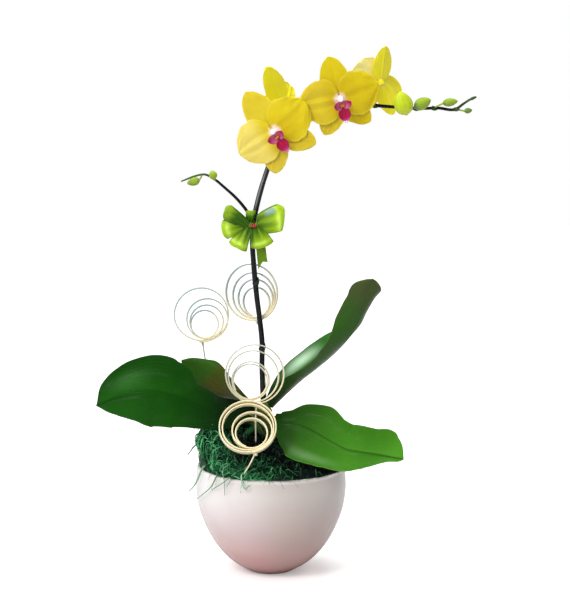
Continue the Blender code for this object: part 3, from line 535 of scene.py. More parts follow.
def leafShape(leaf):
    count, columns = leafMake["rows"], leafMake["columns"]
    rows = smoothRoute(leaf["rows"], count)
    tangents = unitOf(np.gradient(rows[:, :3], axis=0))
    share = np.arange(-columns, columns + 1) / columns
    share = np.sign(share) * np.abs(share) ** 1.15
    surface, looks = [], []
    for i, (row, tangent) in enumerate(zip(rows, tangents)):
        t = i / count
        up = np.array([-tangent[2], 0, tangent[0]]) * (1 if tangent[0] > 0 else -1)
        up = unitOf(up - tangent * np.dot(up, tangent))
        front = np.cross(tangent, up)
        front = front * (1 if front[1] < 0 else -1)
        backWidth, frontWidth, look, fold = row[3:]
        looks.append(spun(up, -front, look)[0])
        close = math.sqrt(1 - within((t - leaf["tip"]) / (1 - leaf["tip"])) ** 2)
        line = []
        for s in share:
            part = abs(s)
            way = 1 if s > 0 else -1
            soft = fold + (90 - fold) * 0.25 * math.exp(-(part / 0.10) ** 2)
            lean = look + (90 - soft) * way
            width = max((frontWidth if s > 0 else backWidth) * close, 0.25)
            arch = leafMake["arch"] * width * math.sin(math.pi * part) * way
            arch -= way * leaf["groove"] * math.exp(-(part / 0.05) ** 2) * min(1, 6 * t) * close
            beat = np.array(t * leaf["waves"] * 6.28 + way * 1.3)
            arch += leaf["wave"] * part**3 * way * close * float(ripple(beat, leaf["seed"], 4)) * 0.6
            direction, face = spun(up, -front, lean)
            line.append(row[:3] + width * part * direction - arch * face)
        surface.append(line)
    surface = np.array(surface)
    thickness = leafMake["edge"] + (leafMake["thickness"] - leafMake["edge"]) * (1 - np.abs(share) ** 1.6)
    if surface[-1][0][0] < surface[0][0][0]:
        # A leaf that runs to the left is turned so that its faces point outward.
        surface = surface[:, ::-1]
        share = share[::-1]
    points, faces, values = slabShape(surface, thickness)
    values["across"] = np.tile(share, 2 * (count + 1))
    # The upper face is the one that the leaf opens toward.
    normal = np.cross(np.gradient(surface, axis=0), np.gradient(surface, axis=1))
    if np.sum(normal * np.array(looks)[:, None]) < 0:
        values["side"] = 1 - values["side"]
    return points, faces, values


for kind, leaf in leafKinds.items():
    skin = leafMaterial(kind, leaf)
    addPiece("leafBlade." + kind, leafShape(leaf), skin, [leaf["node"]], 60)
print("four leaves grown")

# Crown, its leaf sheaths and roots
crownSize = {
    "route": [(-6, 6, 96), (-6, 6, 120), (-5, 6, 150), (-5, 6, 163), (-6, 7, 170)],
    "radius": 8.2, "stand": np.array([-6.0, 6.0, 0.0]),
    "root": [(-8, 0, 146), (-18, -10, 147), (-26, -16, 140), (-29, -19, 128), (-28, -19, 112)],
    "sheaths": [(180, 118, 160, 2.6), (0, 122, 157, 1.0), (205, 132, 168, 2.6), (-25, 112, 152, 2.6),
                (188, 116, 158, 13.0), (172, 120, 163, 9.0)],
    "skin": "#3f5a1c", "scar": "#6f7a4a", "rib": "#26380f", "rootSkin": "#7f8f72", "rootTip": "#1d4a26"}


def crownMaterial():
    material, tree = newMaterial("crownSkin", 0.45, specularIorLevel=0.3)
    along, across, tone = attributes(tree, "along", "across", "tone")
    ribs = placeGroup(tree, veinLines, along=along, across=across, count=16.0, waver=0.3, sharpness=3.0)
    skin = placeGroup(tree, mottle, colour=crownSize["skin"], patchColour=crownSize["scar"], scale=60.0,
                      amount=0.6)
    stock = mixColour(tree, times(tree, ribs["Mask"], 0.4), skin["Colour"], crownSize["rib"])
    root = mixColour(tree, span(tree, along, 0.45, 0.8), crownSize["rootTip"], crownSize["rootSkin"])
    return finishMaterial(material, mixColour(tree, tone, stock, root),
                          plus(tree, ribs["Height"], noise(tree, 260.0)), 0.3, 0.5,
                          span(tree, tone, 0.0, 1.0, 0.5, 0.14))


def sheathShape(heading, low, high, flare):
    # A leaf base that clasps the stock and opens upward.
    def place(t, s):
        angle = math.radians(heading) + math.radians(118 - 58 * t) * s
        radius = crownSize["radius"] + 0.7 + flare * t * t
        return crownSize["stand"] + np.array(
            (radius * math.cos(angle), radius * math.sin(angle), low + (high - low) * t - 3.5 * s * s))

    return slabShape(gridOf(18, 12, place)[:, ::-1], 1.0)


def crownShape():
    thick = crownSize["radius"]
    radii = taper(40, [0, 0.75, 0.9, 1.0], [thick, thick, 6.2, 3.0])
    radii = radii * (1 + 0.03 * np.sin(np.linspace(0, 34, 41)))
    stock = tubeShape(smoothRoute(crownSize["route"], 40), radii, 32)
    radii = taper(36, [0, 0.1, 0.5, 1.0], [3.0, 3.4, 3.5, 3.0])
    radii = radii * (1 + 0.035 * np.sin(np.linspace(0, 21, 37)))
    root = tubeShape(smoothRoute(crownSize["root"], 36), radii, 20, tone=1.0)
    return fused([stock] + [sheathShape(*sheath) for sheath in crownSize["sheaths"]] + [root])


addPiece("crownStock", crownShape(), crownMaterial(), ["crown"], 50)
print("crown and roots set")

# Flower spike, side spike, stalks and sheaths
spikeSize = {
    "main": [
        (-6, 7, 153, 2.9), (-8, 8, 178, 2.8), (-9, 8, 204, 2.7), (-9, 8, 234, 2.7),
        (-11.4, 8, 257, 2.7), (-13.9, 7, 277, 2.7), (-16.8, 6, 308, 2.7), (-18.2, 4, 331, 2.7),
        (-17.2, 3, 354, 2.7), (-13.1, 2, 374, 2.7), (-6.6, 2, 397, 2.6), (0.3, 2, 416, 2.5),
        (9.3, 3, 434, 2.4), (20, 4, 451, 2.3), (34, 4, 465, 2.2), (51, 3, 472, 2.1), (73, 1, 473, 1.9),
        (99, 0, 471, 1.8), (115, 0, 469.5, 1.7), (131, 0, 468.5, 1.6), (147, 0, 467.5, 1.5),
        (165, 0, 468, 1.5), (183, 0, 467, 1.4), (190, 0, 472, 1.2), (198, 0, 477, 1.1),
        (203, 0, 478.8, 0.7)],
    "side": [
        (-17.6, 3.2, 355, 1.6), (-24.6, 1, 367, 1.6), (-34.4, -1, 379, 1.5), (-45.2, -2, 389, 1.4),
        (-56, -3, 398, 1.3), (-65, -4, 402.6, 1.1), (-75, -4, 401, 1.0), (-83, -4, 398, 0.9),
        (-88.6, -4, 395.8, 0.7)],
    "joints": [(-9, 8, 226), (-15.2, 6.5, 293), (-17, 2.8, 360), (4.4, 2.4, 425), (34, 4, 465),
               (73, 1, 473), (102, 0, 470.8), (143, 0, 467.7), (161, 0, 468), (183, 0, 467)],
    "greenBands": [(0.11, 0.0, 0.4), (0.93, 0.99, 0.75)], "sideBands": [(0.62, 0.8, 0.95)],
    "highlightSpan": (362, 440), "tip": (199.5, 0, 477.6),
    "jointHalf": 3.2, "jointSwell": 0.55, "longBract": 7.5, "shortBract": 5.5,
    "black": "#04060a", "blackPatch": "#0c0812", "streak": "#101318", "green": "#2a4419",
    "greenPatch": "#5c7443", "wax": "#8b8e8e", "stalk": "#8fa32a", "stalkPatch": "#6e7c2e",
    "stalkStreak": "#b9bd55", "stalkTop": "#dccb2c"}


def spikeMaterial():
    material, tree = newMaterial("spikeBark", 0.12, specularIorLevel=0.28)
    along, across, tone, wax = attributes(tree, "along", "across", "tone", "bloom")
    skin = placeGroup(tree, mottle, colour=spikeSize["black"], patchColour=spikeSize["blackPatch"],
                      scale=70.0, amount=0.6)
    streak = placeGroup(tree, fibreGrain, colour=skin["Colour"], grainColour=spikeSize["streak"],
                        along=along, across=across, lines=9.0, length=60.0, amount=0.35)
    green = placeGroup(tree, mottle, colour=spikeSize["green"], patchColour=spikeSize["greenPatch"],
                       scale=90.0, amount=0.7)
    bark = mixColour(tree, tone, streak["Colour"], green["Colour"])
    # Painted highlight: the bloom value lays a pale line on the lit side of the upper stem.
    body = mixColour(tree, wax, bark, spikeSize["wax"])
    return finishMaterial(material, body, streak["Height"], 0.12, 0.5,
                          span(tree, tone, 0.0, 1.0, 0.11, 0.36))


def stalkMaterial():
    material, tree = newMaterial("stalkSkin", 0.42, subsurfaceWeight=0.08)
    along, across, tone = attributes(tree, "along", "across", "tone")
    skin = placeGroup(tree, mottle, colour=spikeSize["stalk"], patchColour=spikeSize["stalkPatch"],
                      scale=90.0, amount=0.7)
    streak = placeGroup(tree, fibreGrain, colour=skin["Colour"], grainColour=spikeSize["stalkStreak"],
                        along=along, across=across, lines=7.0, length=9.0, amount=0.5)
    body = mixColour(tree, tone, streak["Colour"], spikeSize["stalkTop"])
    return finishMaterial(material, body, streak["Height"], 0.1, 0.5)


def greening(shape, bands):
    # tone rises from 0 on black stem to 1 on green stem between two shares of the length.
    along, tone = shape[2]["along"], np.zeros(len(shape[0]))
    for low, high, amount in bands:
        tone = np.maximum(tone, amount * np.clip((along - low) / (high - low), 0, 1))
    shape[2]["tone"] = tone
    return shape


def sheathBract(joint, run, radius, long):
    # A thin bract that wraps a joint and opens at its tip.
    normal = unitOf(np.cross(run, (0.2, -0.9, 0.3)))
    side = np.cross(run, normal)

    def place(t, s):
        angle = math.radians(168 - 108 * t**1.4) * s
        away = radius + 0.15 + 0.75 * math.sin(math.pi * min(1, t * 1.1)) + 0.5 * t * t
        return (joint + run * (t * long * (1 - 0.35 * s * s) - 2.0)
                + away * (math.cos(angle) * normal + math.sin(angle) * side))

    return slabShape(gridOf(12, 8, place), 0.35)


def flowerSpike():
    rows = smoothRoute(spikeSize["main"], 230)
    wobble = 1 + 0.035 * ripple(np.linspace(0, 60, 231), 4)
    main = tubeShape(rows[:, :3], rows[:, 3] * wobble, 20)
    main = greening(main, spikeSize["greenBands"])
    sideRows = smoothRoute(spikeSize["side"], 90)
    side = greening(tubeShape(sideRows[:, :3], sideRows[:, 3], 16), spikeSize["sideBands"])
    # A painted highlight: a pale line along the lit side of the upper stem.
    centre = np.repeat(rows[:, :3], 20, axis=0)
    lit = np.clip(unitOf(main[0][:-2] - centre) @ unitOf((-0.45, -0.9, 0.1)), 0, 1) ** 14
    low, high = spikeSize["highlightSpan"]
    highlightSpan = np.clip((centre[:, 2] - low) / 12, 0, 1) * np.clip((high - centre[:, 2]) / 12, 0, 1)
    main[2]["bloom"] = np.append(0.85 * lit * highlightSpan, [0.0, 0.0])
    shapes = [main, side]
    for joint in spikeSize["joints"]:
        i = int(np.argmin(np.linalg.norm(rows[:, :3] - joint, axis=1)))
        run = unitOf(rows[min(i + 1, 230), :3] - rows[i - 1, :3])
        radius = rows[i, 3]
        steps = np.linspace(-spikeSize["jointHalf"], spikeSize["jointHalf"], 9)
        swollen = [radius + spikeSize["jointSwell"] * math.exp(-(d / 1.4) ** 2) - 0.1 for d in steps]
        lump = tubeShape([np.array(joint) + run * d for d in steps], swollen, 18)
        far = joint[0] > 100
        shapes.append(greening(lump, [(-1, 0, 0.9 if far else 0.0)]))
        long = spikeSize["longBract"] if joint[2] < 440 else spikeSize["shortBract"]
        bract = sheathBract(np.array(joint), run, radius, long)
        bract[2]["tone"] = np.full(len(bract[0]), 0.95 if far else 0.25)
        shapes.append(bract)
    # The bract at the very tip is greener than the stem.
    end = np.array(spikeSize["tip"])
    for lean in (0.5, -0.4):
        route = [end + (d, 0, 0.42 * d + lean * 0.25 * d) for d in (-3, -1, 0.8, 2.2, 3.2)]
        shapes.append(tubeShape(route, [0.6, 1.5, 1.4, 0.9, 0.3], 12, 0.7, tone=1.0))
    return fused(shapes)


# angles and the painted light on each tepal start at the top sepal, then the two side sepals and the two
# petals
blooms = [
    {"place": (4, -22, 446), "turn": -6, "lift": -4, "roll": 37, "reach": 43, "petals": 0.96, "closed": 0,
     "angles": (0, 143, -143, 86, -84), "crest": (1.12, 1.15), "slim": 1.0, "stalk": (18, 4, 449),
     "tint": "#dcc818", "patch": "#ccb20c", "pale": (0.05, 0.1, 0.05, 0.4, 0.0), "seed": 11},
    {"place": (68, -20, 478), "turn": 6, "lift": -6, "roll": 16, "reach": 40, "petals": 1.0, "closed": 0,
     "angles": (0, 143, -143, 84, -86), "crest": (1.07, 1.16), "slim": 1.0, "stalk": (80, 1, 472.6),
     "tint": "#dcc812", "patch": "#ccb008", "pale": (0.0, 0.05, 0.0, 0.05, 0.0), "seed": 23},
    {"place": (109.5, 34, 491.5), "turn": 217, "lift": 6, "roll": 10, "reach": 37, "petals": 0.95,
     "closed": 12, "angles": (-10, 143, -143, 106, -77), "crest": (1.0, 1.0), "slim": 0.64,
     "stalk": (102, 0, 470.8), "bend": [(99, 9, 479), (103.5, 22, 487.5)],
     "tint": "#fff01a", "patch": "#e6da0c", "pale": (0.05, 0.0, 0.0, 0.0, 1.0), "seed": 37},
    {"place": (13, 21, 470), "turn": 215, "lift": 4, "roll": -34, "reach": 41, "petals": 0.68, "closed": 37,
     "angles": (0, 143, -143, 77, -77), "crest": (1.14, 0.96), "slim": 1.0, "stalk": (24, 4, 455),
     "tint": "#fbf01e", "patch": "#ecdc12", "pale": (0.0, 0.0, 0.0, 0.0, 0.0), "seed": 41}]
buds = [
    {"node": "bud_1", "centre": (130, -12.5, 473.5), "length": 24, "radius": 9.4, "aim": (-0.3, -0.15, 0.9),
     "stalk": (139, 0, 468), "tint": "#bfd021", "patch": "#a8bd17", "below": "#cfd84a"},
    {"node": "bud_2", "centre": (149.5, -7, 473), "length": 18, "radius": 6.2, "aim": (0.8, -0.2, 0.4),
     "stalk": (143, 0, 467.7), "tint": "#7fae1d", "patch": "#93a52f", "below": "#6d7f6c"},
    {"node": "bud_3", "centre": (177, -4, 474), "length": 15, "radius": 4.1, "aim": (0.95, -0.1, 0.15),
     "stalk": (161, 0, 468), "tint": "#8eb01b", "patch": "#819e32", "below": "#6f8a2c"},
    {"node": "bud_4", "centre": (195, -1, 465.5), "length": 8, "radius": 2.8, "aim": (0.9, 0, 0.1),
     "stalk": (183, 0, 467), "tint": "#6f9a2c", "patch": "#5a7f3c", "below": "#5d7a52"},
    {"node": "side_bud_1", "centre": (-57, -8.8, 402.8), "length": 9, "radius": 4.2,
     "aim": (-0.3, -0.1, 0.9), "stalk": (-55, -3, 397), "tint": "#9cc02b", "patch": "#7e9c2e",
     "below": "#8aa53a"},
    {"node": "side_bud_2", "centre": (-76.5, -5, 395.5), "length": 13, "radius": 4.2,
     "aim": (-0.9, -0.1, -0.25), "stalk": (-68, -4, 402.4), "tint": "#8fb52c", "patch": "#76902f",
     "below": "#7f9c44"}]


def bloomFrame(bloom):
    right, top, face = facing(bloom["turn"], bloom["lift"])
    roll = math.radians(bloom["roll"])
    across = math.cos(roll) * right + math.sin(roll) * top
    upward = math.cos(roll) * top - math.sin(roll) * right
    return np.stack([across, upward, face], axis=1)


def flowerStalks():
    shapes = []
    for bloom in blooms:
        away = bloomFrame(bloom)
        back = np.array(bloom["place"]) - away[:, 2] * 3.2
        rear = back - away[:, 2] * (2.0 if bloom["place"][1] > 0 else 3.6)
        route = smoothRoute([bloom["stalk"]] + bloom.get("bend", []) + [rear, back], 34)
        stalk = tubeShape(route, np.linspace(1.2, 1.0, 35) + 0.5 * np.linspace(0, 1, 35) ** 6, 14)
        stalk[2]["tone"] = np.clip(stalk[2]["along"] * 1.6, 0, 1)
        shapes.append(stalk)
    for bud in buds:
        end = np.array(bud["centre"]) - unitOf(bud["aim"]) * (bud["length"] * 0.5 - 0.6)
        middle = (np.array(bud["stalk"]) + end) / 2 - unitOf(bud["aim"]) * 0.6
        route = smoothRoute([bud["stalk"], middle, end], 24)
        shapes.append(tubeShape(route, 0.85 + 0.25 * np.linspace(0, 1, 25) ** 4, 12))
    return fused(shapes)


addPiece("spikeStem", flowerSpike(), spikeMaterial(), ["flower_spike"], 60)
addPiece("spikeStalks", flowerStalks(), stalkMaterial(), (), 60)
print("spike and stalks drawn")

# Blooms
petalMake = {
    "thickness": 0.85, "edge": 0.35, "rows": 44, "columns": 18,
    "ruffle": 0.75, "flush": "#f6ecdc", "blush": "#e9c3cf", "veinDark": "#b59a08",
    "rim": "#eedd55", "under": "#f6ee30", "pale": "#fff09a",
    # length and width over the bloom's reach, heart, point, cup, curl, share of the ruffle, tone
    "top": (1.0, 0.64, 0.88, 0.8, 0.8, 3.0, 0.7, 0.45),
    "side": (0.98, 0.62, 0.92, 0.8, 0.8, 2.6, 0.7, 0.55),
    "petal": (1.02, 1.12, 0.80, 0.56, -1.0, 3.2, 1.3, 1.0),
    # each tepal: its kind, how far it lies below the disc, and its folds (place, depth, breadth)
    "tepals": [
        ("top", 1.1, [(0.0, 0.5, 0.10)]), ("side", 2.3, [(0.0, 0.7, 0.12), (0.5, 0.4, 0.15)]),
        ("side", 2.2, [(0.05, 0.8, 0.12), (-0.45, 0.5, 0.15)]),
        ("petal", -0.2, [(-0.25, 1.0, 0.13), (0.22, 0.9, 0.12), (0.62, -0.6, 0.2)]),
        ("petal", 0.1, [(0.0, 0.8, 0.14), (-0.5, 0.5, 0.2), (0.5, -0.5, 0.2)])]}


def petalLengths(rows, point):
    t = np.linspace(0, 1, rows + 1)
    return 0.04 + 0.955 * (np.sin(0.5 * math.pi * t) if point < 1 else t)


def petalSurface(length, width, heart, point, cup, curl, rows, columns, seed, ruffle, folds=()):
    # Petal along +Y that faces +Z. Each fold is (place across, depth, breadth).
    surface = []
    share = np.linspace(-1, 1, 2 * columns + 1)
    for i, t in enumerate(petalLengths(rows, point)):
        swell = math.sin(math.pi * t ** heart) ** (point + (0.40 - point) * t)
        least = 2.7 if t < 0.3 else 1.3
        half = max(width / 2 * swell, least if i < rows else 0.6)
        wavy = 1 + 0.045 * ruffle * ripple(np.sign(share) + t * 7.0, seed + 2, 4) * np.abs(share)
        x = half * share * wavy
        y = length * t * (1 - 0.04 * share**2)
        z = cup * (share**2 - 0.35) * swell - curl * t * t
        wave = ripple(share * 3.2 + t * 5.0, seed, 4) * (0.35 + np.abs(share) ** 2)
        z = z + ruffle * wave * t * (0.5 + 0.5 * t)
        for place, depth, breadth in folds:
            crease = np.exp(-((share - place) / breadth) ** 2)
            z = z - depth * crease * math.sin(math.pi * min(t, 0.98)) ** 0.6
        x = x + 0.25 * ruffle * ripple(np.full_like(share, t * 9.0), seed + 1, 4) * np.abs(share)
        surface.append(np.stack([x, y, z], axis=1))
    return np.array(surface)[:, ::-1]


def turnedShape(shape, angle, lower):
    points, faces, values = shape
    c, s = math.cos(math.radians(angle)), math.sin(math.radians(angle))
    spin = np.array([[c, -s, 0], [s, c, 0], [0, 0, 1]])
    return points @ spin.T - (0, 0, lower), faces, values


def setInBloom(shape, bloom):
    return shape[0] @ bloomFrame(bloom).T + np.array(bloom["place"]), shape[1], shape[2]


def petalMaterial(number, bloom):
    material, tree = newMaterial(f"petal{number}", 0.5, subsurfaceWeight=0.3, specularIorLevel=0.2,
                                 subsurfaceRadius=(0.006, 0.005, 0.0012))
    along, across, tone, side = attributes(tree, "along", "across", "tone", "side")
    pale, core = attributes(tree, "pale", "core")
    veins = placeGroup(tree, veinLines, along=along, across=across, count=13.0, waver=0.8, sharpness=4.0)
    skin = placeGroup(tree, mottle, colour=bloom["tint"], patchColour=bloom["patch"], scale=38.0,
                      amount=0.75)
    body = mixColour(tree, times(tree, veins["Mask"], 0.28), skin["Colour"], petalMake["veinDark"])
    rim = span(tree, mathNode(tree, "ABSOLUTE", across), 0.86, 1.0, 0.0, 0.35)
    body = mixColour(tree, rim, body, petalMake["rim"])
    # Painted light: the underside is made lighter, for light that shines through the petal.
    body = mixColour(tree, times(tree, side, 0.35), body, petalMake["under"])
    # Painted light: lit and back-lit tepals are made paler.
    body = mixColour(tree, times(tree, pale, span(tree, along, 0.1, 0.5)), body, petalMake["pale"])
    # The throat: core is the distance from the middle of the bloom.
    core = plus(tree, core, times(tree, noise(tree, 130.0), 4.0))
    flush = times(tree, span(tree, core, 10.5, 5.0), span(tree, side, 1.0, 0.0))
    body = mixColour(tree, times(tree, flush, tone), body, petalMake["flush"])
    blush = times(tree, span(tree, core, 8.5, 4.5), span(tree, noise(tree, 160.0), 0.35, 0.6))
    body = mixColour(tree, times(tree, blush, times(tree, tone, 0.6)), body, petalMake["blush"])
    relief = plus(tree, veins["Height"], times(tree, noise(tree, 700.0), 0.35))
    return finishMaterial(material, body, relief, 0.16, 0.6)


def tepalShape(bloom, kind, seed, folds, slim):
    length, width, heart, point, cup, curl, ruffle, tone = petalMake[kind]
    reach, share, rows = bloom["reach"], bloom["petals"], petalMake["rows"]
    long, wide = {"top": bloom["crest"], "side": (1.0, 1.0), "petal": (share, share)}[kind]
    columns = petalMake["columns"] + (6 if kind == "petal" else 0)
    surface = petalSurface(reach * length * long, reach * width * wide * slim, heart, point, cup, curl,
                           rows, columns, seed, petalMake["ruffle"] * ruffle, folds)
    if kind == "petal":
        y, z = spun(surface[..., 1], surface[..., 2], bloom["closed"])
        surface[..., 1], surface[..., 2] = y, z
    across = np.abs(np.linspace(-1, 1, surface.shape[1]))
    ridge = 0.35 * np.exp(-(across / 0.05) ** 2)
    thickness = petalMake["edge"] + (petalMake["thickness"] - petalMake["edge"]) * (1 - across**2) + ridge
    return slabShape(surface, thickness, tone, petalLengths(rows, 0.5))


def tepals(bloom):
    disc = tubeShape([(0, 0, z) for z in np.linspace(-4.0, 2.0, 13)],
                     taper(12, [0, 0.5, 1], [1.9, 4.3, 3.4]), 24)
    disc[2]["tone"] = np.clip(disc[0][:, 2], 0, 1)
    shapes = [disc]
    for n, (kind, lower, folds) in enumerate(petalMake["tepals"]):
        slim = bloom["slim"] if n == 3 else 1.0
        tepal = tepalShape(bloom, kind, bloom["seed"] + n, folds, slim)
        shapes.append(turnedShape(tepal, bloom["angles"][n], lower))
    for shape, pale in zip(shapes, (0.0,) + bloom["pale"]):
        shape[2]["core"] = np.hypot(shape[0][:, 0], shape[0][:, 1])
        shape[2]["pale"] = np.full(len(shape[0]), float(pale))
    return fused([setInBloom(shape, bloom) for shape in shapes])


columnMake = {
    "route": [(0, 1.8, 1.6), (0, 1.9, 4.0), (0, 1.7, 6.5), (0, 0.9, 9.0), (0, 0.1, 10.4)],
    "radii": ([0, 0.3, 0.6, 0.85, 1.0], [1.6, 1.8, 2.4, 2.5, 1.5]), "capRadius": 1.75, "wingRadius": 0.75,
    "root": "#e7b6c6", "top": "#ffffff", "patch": "#f3e2ec", "cap": "#faf4ee"}


def columnMaterial():
    material, tree = newMaterial("columnCream", 0.38, subsurfaceWeight=0.2,
                                 subsurfaceRadius=(0.004, 0.003, 0.002))
    along, tone = attributes(tree, "along", "tone")
    base = mixColour(tree, span(tree, along, 0.1, 0.6), columnMake["root"], columnMake["top"])
    skin = placeGroup(tree, mottle, colour=base, patchColour=columnMake["patch"], scale=220.0, amount=0.5)
    body = mixColour(tree, tone, skin["Colour"], columnMake["cap"])
    return finishMaterial(material, body, noise(tree, 500.0), 0.15, 0.4)


def columnShape():
    # The column arches over the lip and ends in a rounded cap over a small hollow.
    shapes = [tubeShape(smoothRoute(columnMake["route"], 30), taper(30, *columnMake["radii"]), 24)]
    dome = columnMake["capRadius"] * np.sqrt(np.clip(1 - np.linspace(0, 0.97, 9) ** 2, 0.02, 1))
    cap = [(0, 0.6 - 0.35 * d, 9.4 + d) for d in np.linspace(0, 2.0, 9)]
    shapes.append(tubeShape(cap, dome, 20, tone=0.8))
    for way in (-1, 1):
        wing = [(way * (1.7 + 0.5 * t), 0.8 - 1.4 * t, 6.4 + 3.2 * t) for t in np.linspace(0, 1, 9)]
        shapes.append(tubeShape(wing, columnMake["wingRadius"] * np.sin(np.linspace(0.5, 2.9, 9)), 12, 0.6))
    return fused(shapes)


lipMake = {
    "claw": [(0, -2.0, 1.6), (0, -2.4, 3.4), (0, -4.2, 5.6)],
    "horn": [(0.9, -4.4, 4.8), (1.1, -5.7, 6.8), (1.5, -6.7, 8.8)],
    # lobes: length, width, heart, point, cup, curl, rows, columns
    "middleLobe": (17, 12, 1.35, 0.8, 2.2, 1.0, 30, 10), "middleSeat": (0, -4.6, 6.0), "middleRuffle": 0.35,
    "sideLobe": (12.0, 9.0, 0.75, 0.6, 2.6, -3.4, 22, 9), "sideSeat": (0, -6.1, 5.4), "sideRuffle": 0.3,
    "sideLean": 28, "sideOut": 70, "tendril": (0.4, 0.14), "coil": 1.3,
    "wingRoot": "#d8709a", "wing": "#c01a6c", "wingStripe": "#7a0d2c", "lobeRoot": "#b40c48",
    "lobe": "#d858b8", "lobeStripe": "#6d0820", "callus": "#dc9a3c", "spots": "#a82c3a"}


def lipMaterial():
    material, tree = newMaterial("lipVelvet", 0.42, specularIorLevel=0.25)
    along, across, tone = attributes(tree, "along", "across", "tone")
    # tone is 0 on the side lobes, 0.5 on the callus and 1 on the middle lobe.
    stripes = placeGroup(tree, veinLines, along=along, across=across, count=7.0, waver=0.6, sharpness=2.5)
    wing = mixColour(tree, span(tree, along, 0.15, 0.75), lipMake["wingRoot"], lipMake["wing"])
    wing = mixColour(tree, times(tree, stripes["Mask"], 0.7), wing, lipMake["wingStripe"])
    middle = mixColour(tree, span(tree, along, 0.55, 0.95), lipMake["lobeRoot"], lipMake["lobe"])
    middle = mixColour(tree, times(tree, stripes["Mask"], 0.45), middle, lipMake["lobeStripe"])
    spots = span(tree, noise(tree, 900.0, 1.0), 0.55, 0.62)
    callus = mixColour(tree, spots, lipMake["callus"], lipMake["spots"])
    body = mixColour(tree, span(tree, tone, 0.1, 0.4), wing, callus)
    body = mixColour(tree, span(tree, tone, 0.6, 0.9), body, middle)
    return finishMaterial(material, body, plus(tree, stripes["Height"], noise(tree, 800.0)), 0.14, 0.5)


def lipShape(bloom):
    shapes = [tubeShape(smoothRoute(lipMake["claw"], 14), np.linspace(1.0, 1.7, 15), 16, tone=0.5)]
    for way in (-1, 1):
        horn = smoothRoute([(way * x, y, z) for x, y, z in lipMake["horn"]], 14)
        shapes.append(tubeShape(horn, taper(14, [0, 0.5, 1], [1.5, 1.5, 0.5]), 14, tone=0.5))
    # Middle lobe: a narrow base, broad shoulders and a tip with two curled tendrils.
    ridge = [(0.0, -0.8, 0.16)]
    surface = petalSurface(*lipMake["middleLobe"], bloom["seed"], lipMake["middleRuffle"], ridge)
    points, faces, values = slabShape(surface, 0.8, 1.0)
    points = points * (1, -1, 1) + lipMake["middleSeat"]
    shapes.append((points, [tuple(reversed(face)) for face in faces], values))
    angles = np.linspace(0, 4.4, 26)
    coil = lipMake["coil"] * np.exp(-0.32 * angles)
    for way in (-1, 1):
        curl = [way * (0.6 + coil * np.sin(angles)), -21.2 - lipMake["coil"] + coil * np.cos(angles),
                4.9 + 0.5 * angles]
        tendril = tubeShape(np.stack(curl, axis=1), np.linspace(*lipMake["tendril"], 26), 8, tone=1.0)
        tendril[2]["along"] = np.full(len(tendril[0]), 0.95)
        shapes.append(tendril)
    surface = petalSurface(*lipMake["sideLobe"], bloom["seed"] + 5, lipMake["sideRuffle"])
    for way in (-1, 1):
        points, faces, values = slabShape(surface, 0.7, 0.0)
        x, y, z = points.T
        y, z = spun(y, z, lipMake["sideLean"])
        x, y = spun(x, y, -lipMake["sideOut"] * way)
        shapes.append((np.stack([x, y, z], axis=1) + lipMake["sideSeat"], faces, values))
    return fused([setInBloom(shape, bloom) for shape in shapes])


columnSkin, lipSkin = columnMaterial(), lipMaterial()
for number, bloom in enumerate(blooms, 1):
    addPiece(f"tepals.{number}", tepals(bloom), petalMaterial(number, bloom),
             [f"bloom_{number}_tepals"], 70)
    addPiece(f"column.{number}", setInBloom(columnShape(), bloom), columnSkin,
             [f"bloom_{number}_column"], 70)
    addPiece(f"lip.{number}", lipShape(bloom), lipSkin, [f"bloom_{number}_lip"], 70)
print("four blooms opened")


# Buds
budMake = {"fullest": 0.42, "crease": 0.09, "sides": 36, "collar": (0.16, 0.42)}


def budMaterial(bud):
    material, tree = newMaterial("bud." + bud["node"], 0.4, subsurfaceWeight=0.08, specularIorLevel=0.3)
    along, across = attributes(tree, "along", "across")
    ribs = placeGroup(tree, veinLines, along=along, across=across, count=12.0, waver=0.35, sharpness=4.0)
    skin = placeGroup(tree, mottle, colour=bud["tint"], patchColour=bud["patch"], scale=110.0, amount=0.8)
    body = mixColour(tree, times(tree, ribs["Mask"], 0.3), skin["Colour"], colour(bud["patch"], 0.55))
    body = mixColour(tree, span(tree, along, 0.42, 0.0, 0.0, 0.85), body, bud["below"])
    return finishMaterial(material, body, plus(tree, ribs["Height"], noise(tree, 400.0)), 0.12, 0.5)


def budShape(bud):
    # Three sepals meet in creases, fullest nearer the stalk and drawn to a soft point.
    axis, centre = unitOf(bud["aim"]), np.array(bud["centre"])
    steps = np.linspace(0.012, 0.988, 34)
    swell = steps ** (math.log(0.5) / math.log(budMake["fullest"]))
    route = [centre + axis * bud["length"] * (t - 0.5) for t in steps]
    body = tubeShape(route, bud["radius"] * np.sin(math.pi * swell) ** 0.62, budMake["sides"], 1.0, 3,
                     budMake["crease"])
    collar = [centre + axis * bud["length"] * (t - 0.5) for t in np.linspace(-0.02, 0.1, 8)]
    return fused([body, tubeShape(collar, bud["radius"] * np.linspace(*budMake["collar"], 8), 20)])


for bud in buds:
    addPiece("budSkin." + bud["node"], budShape(bud), budMaterial(bud), [bud["node"]], 60)
print("buds set")

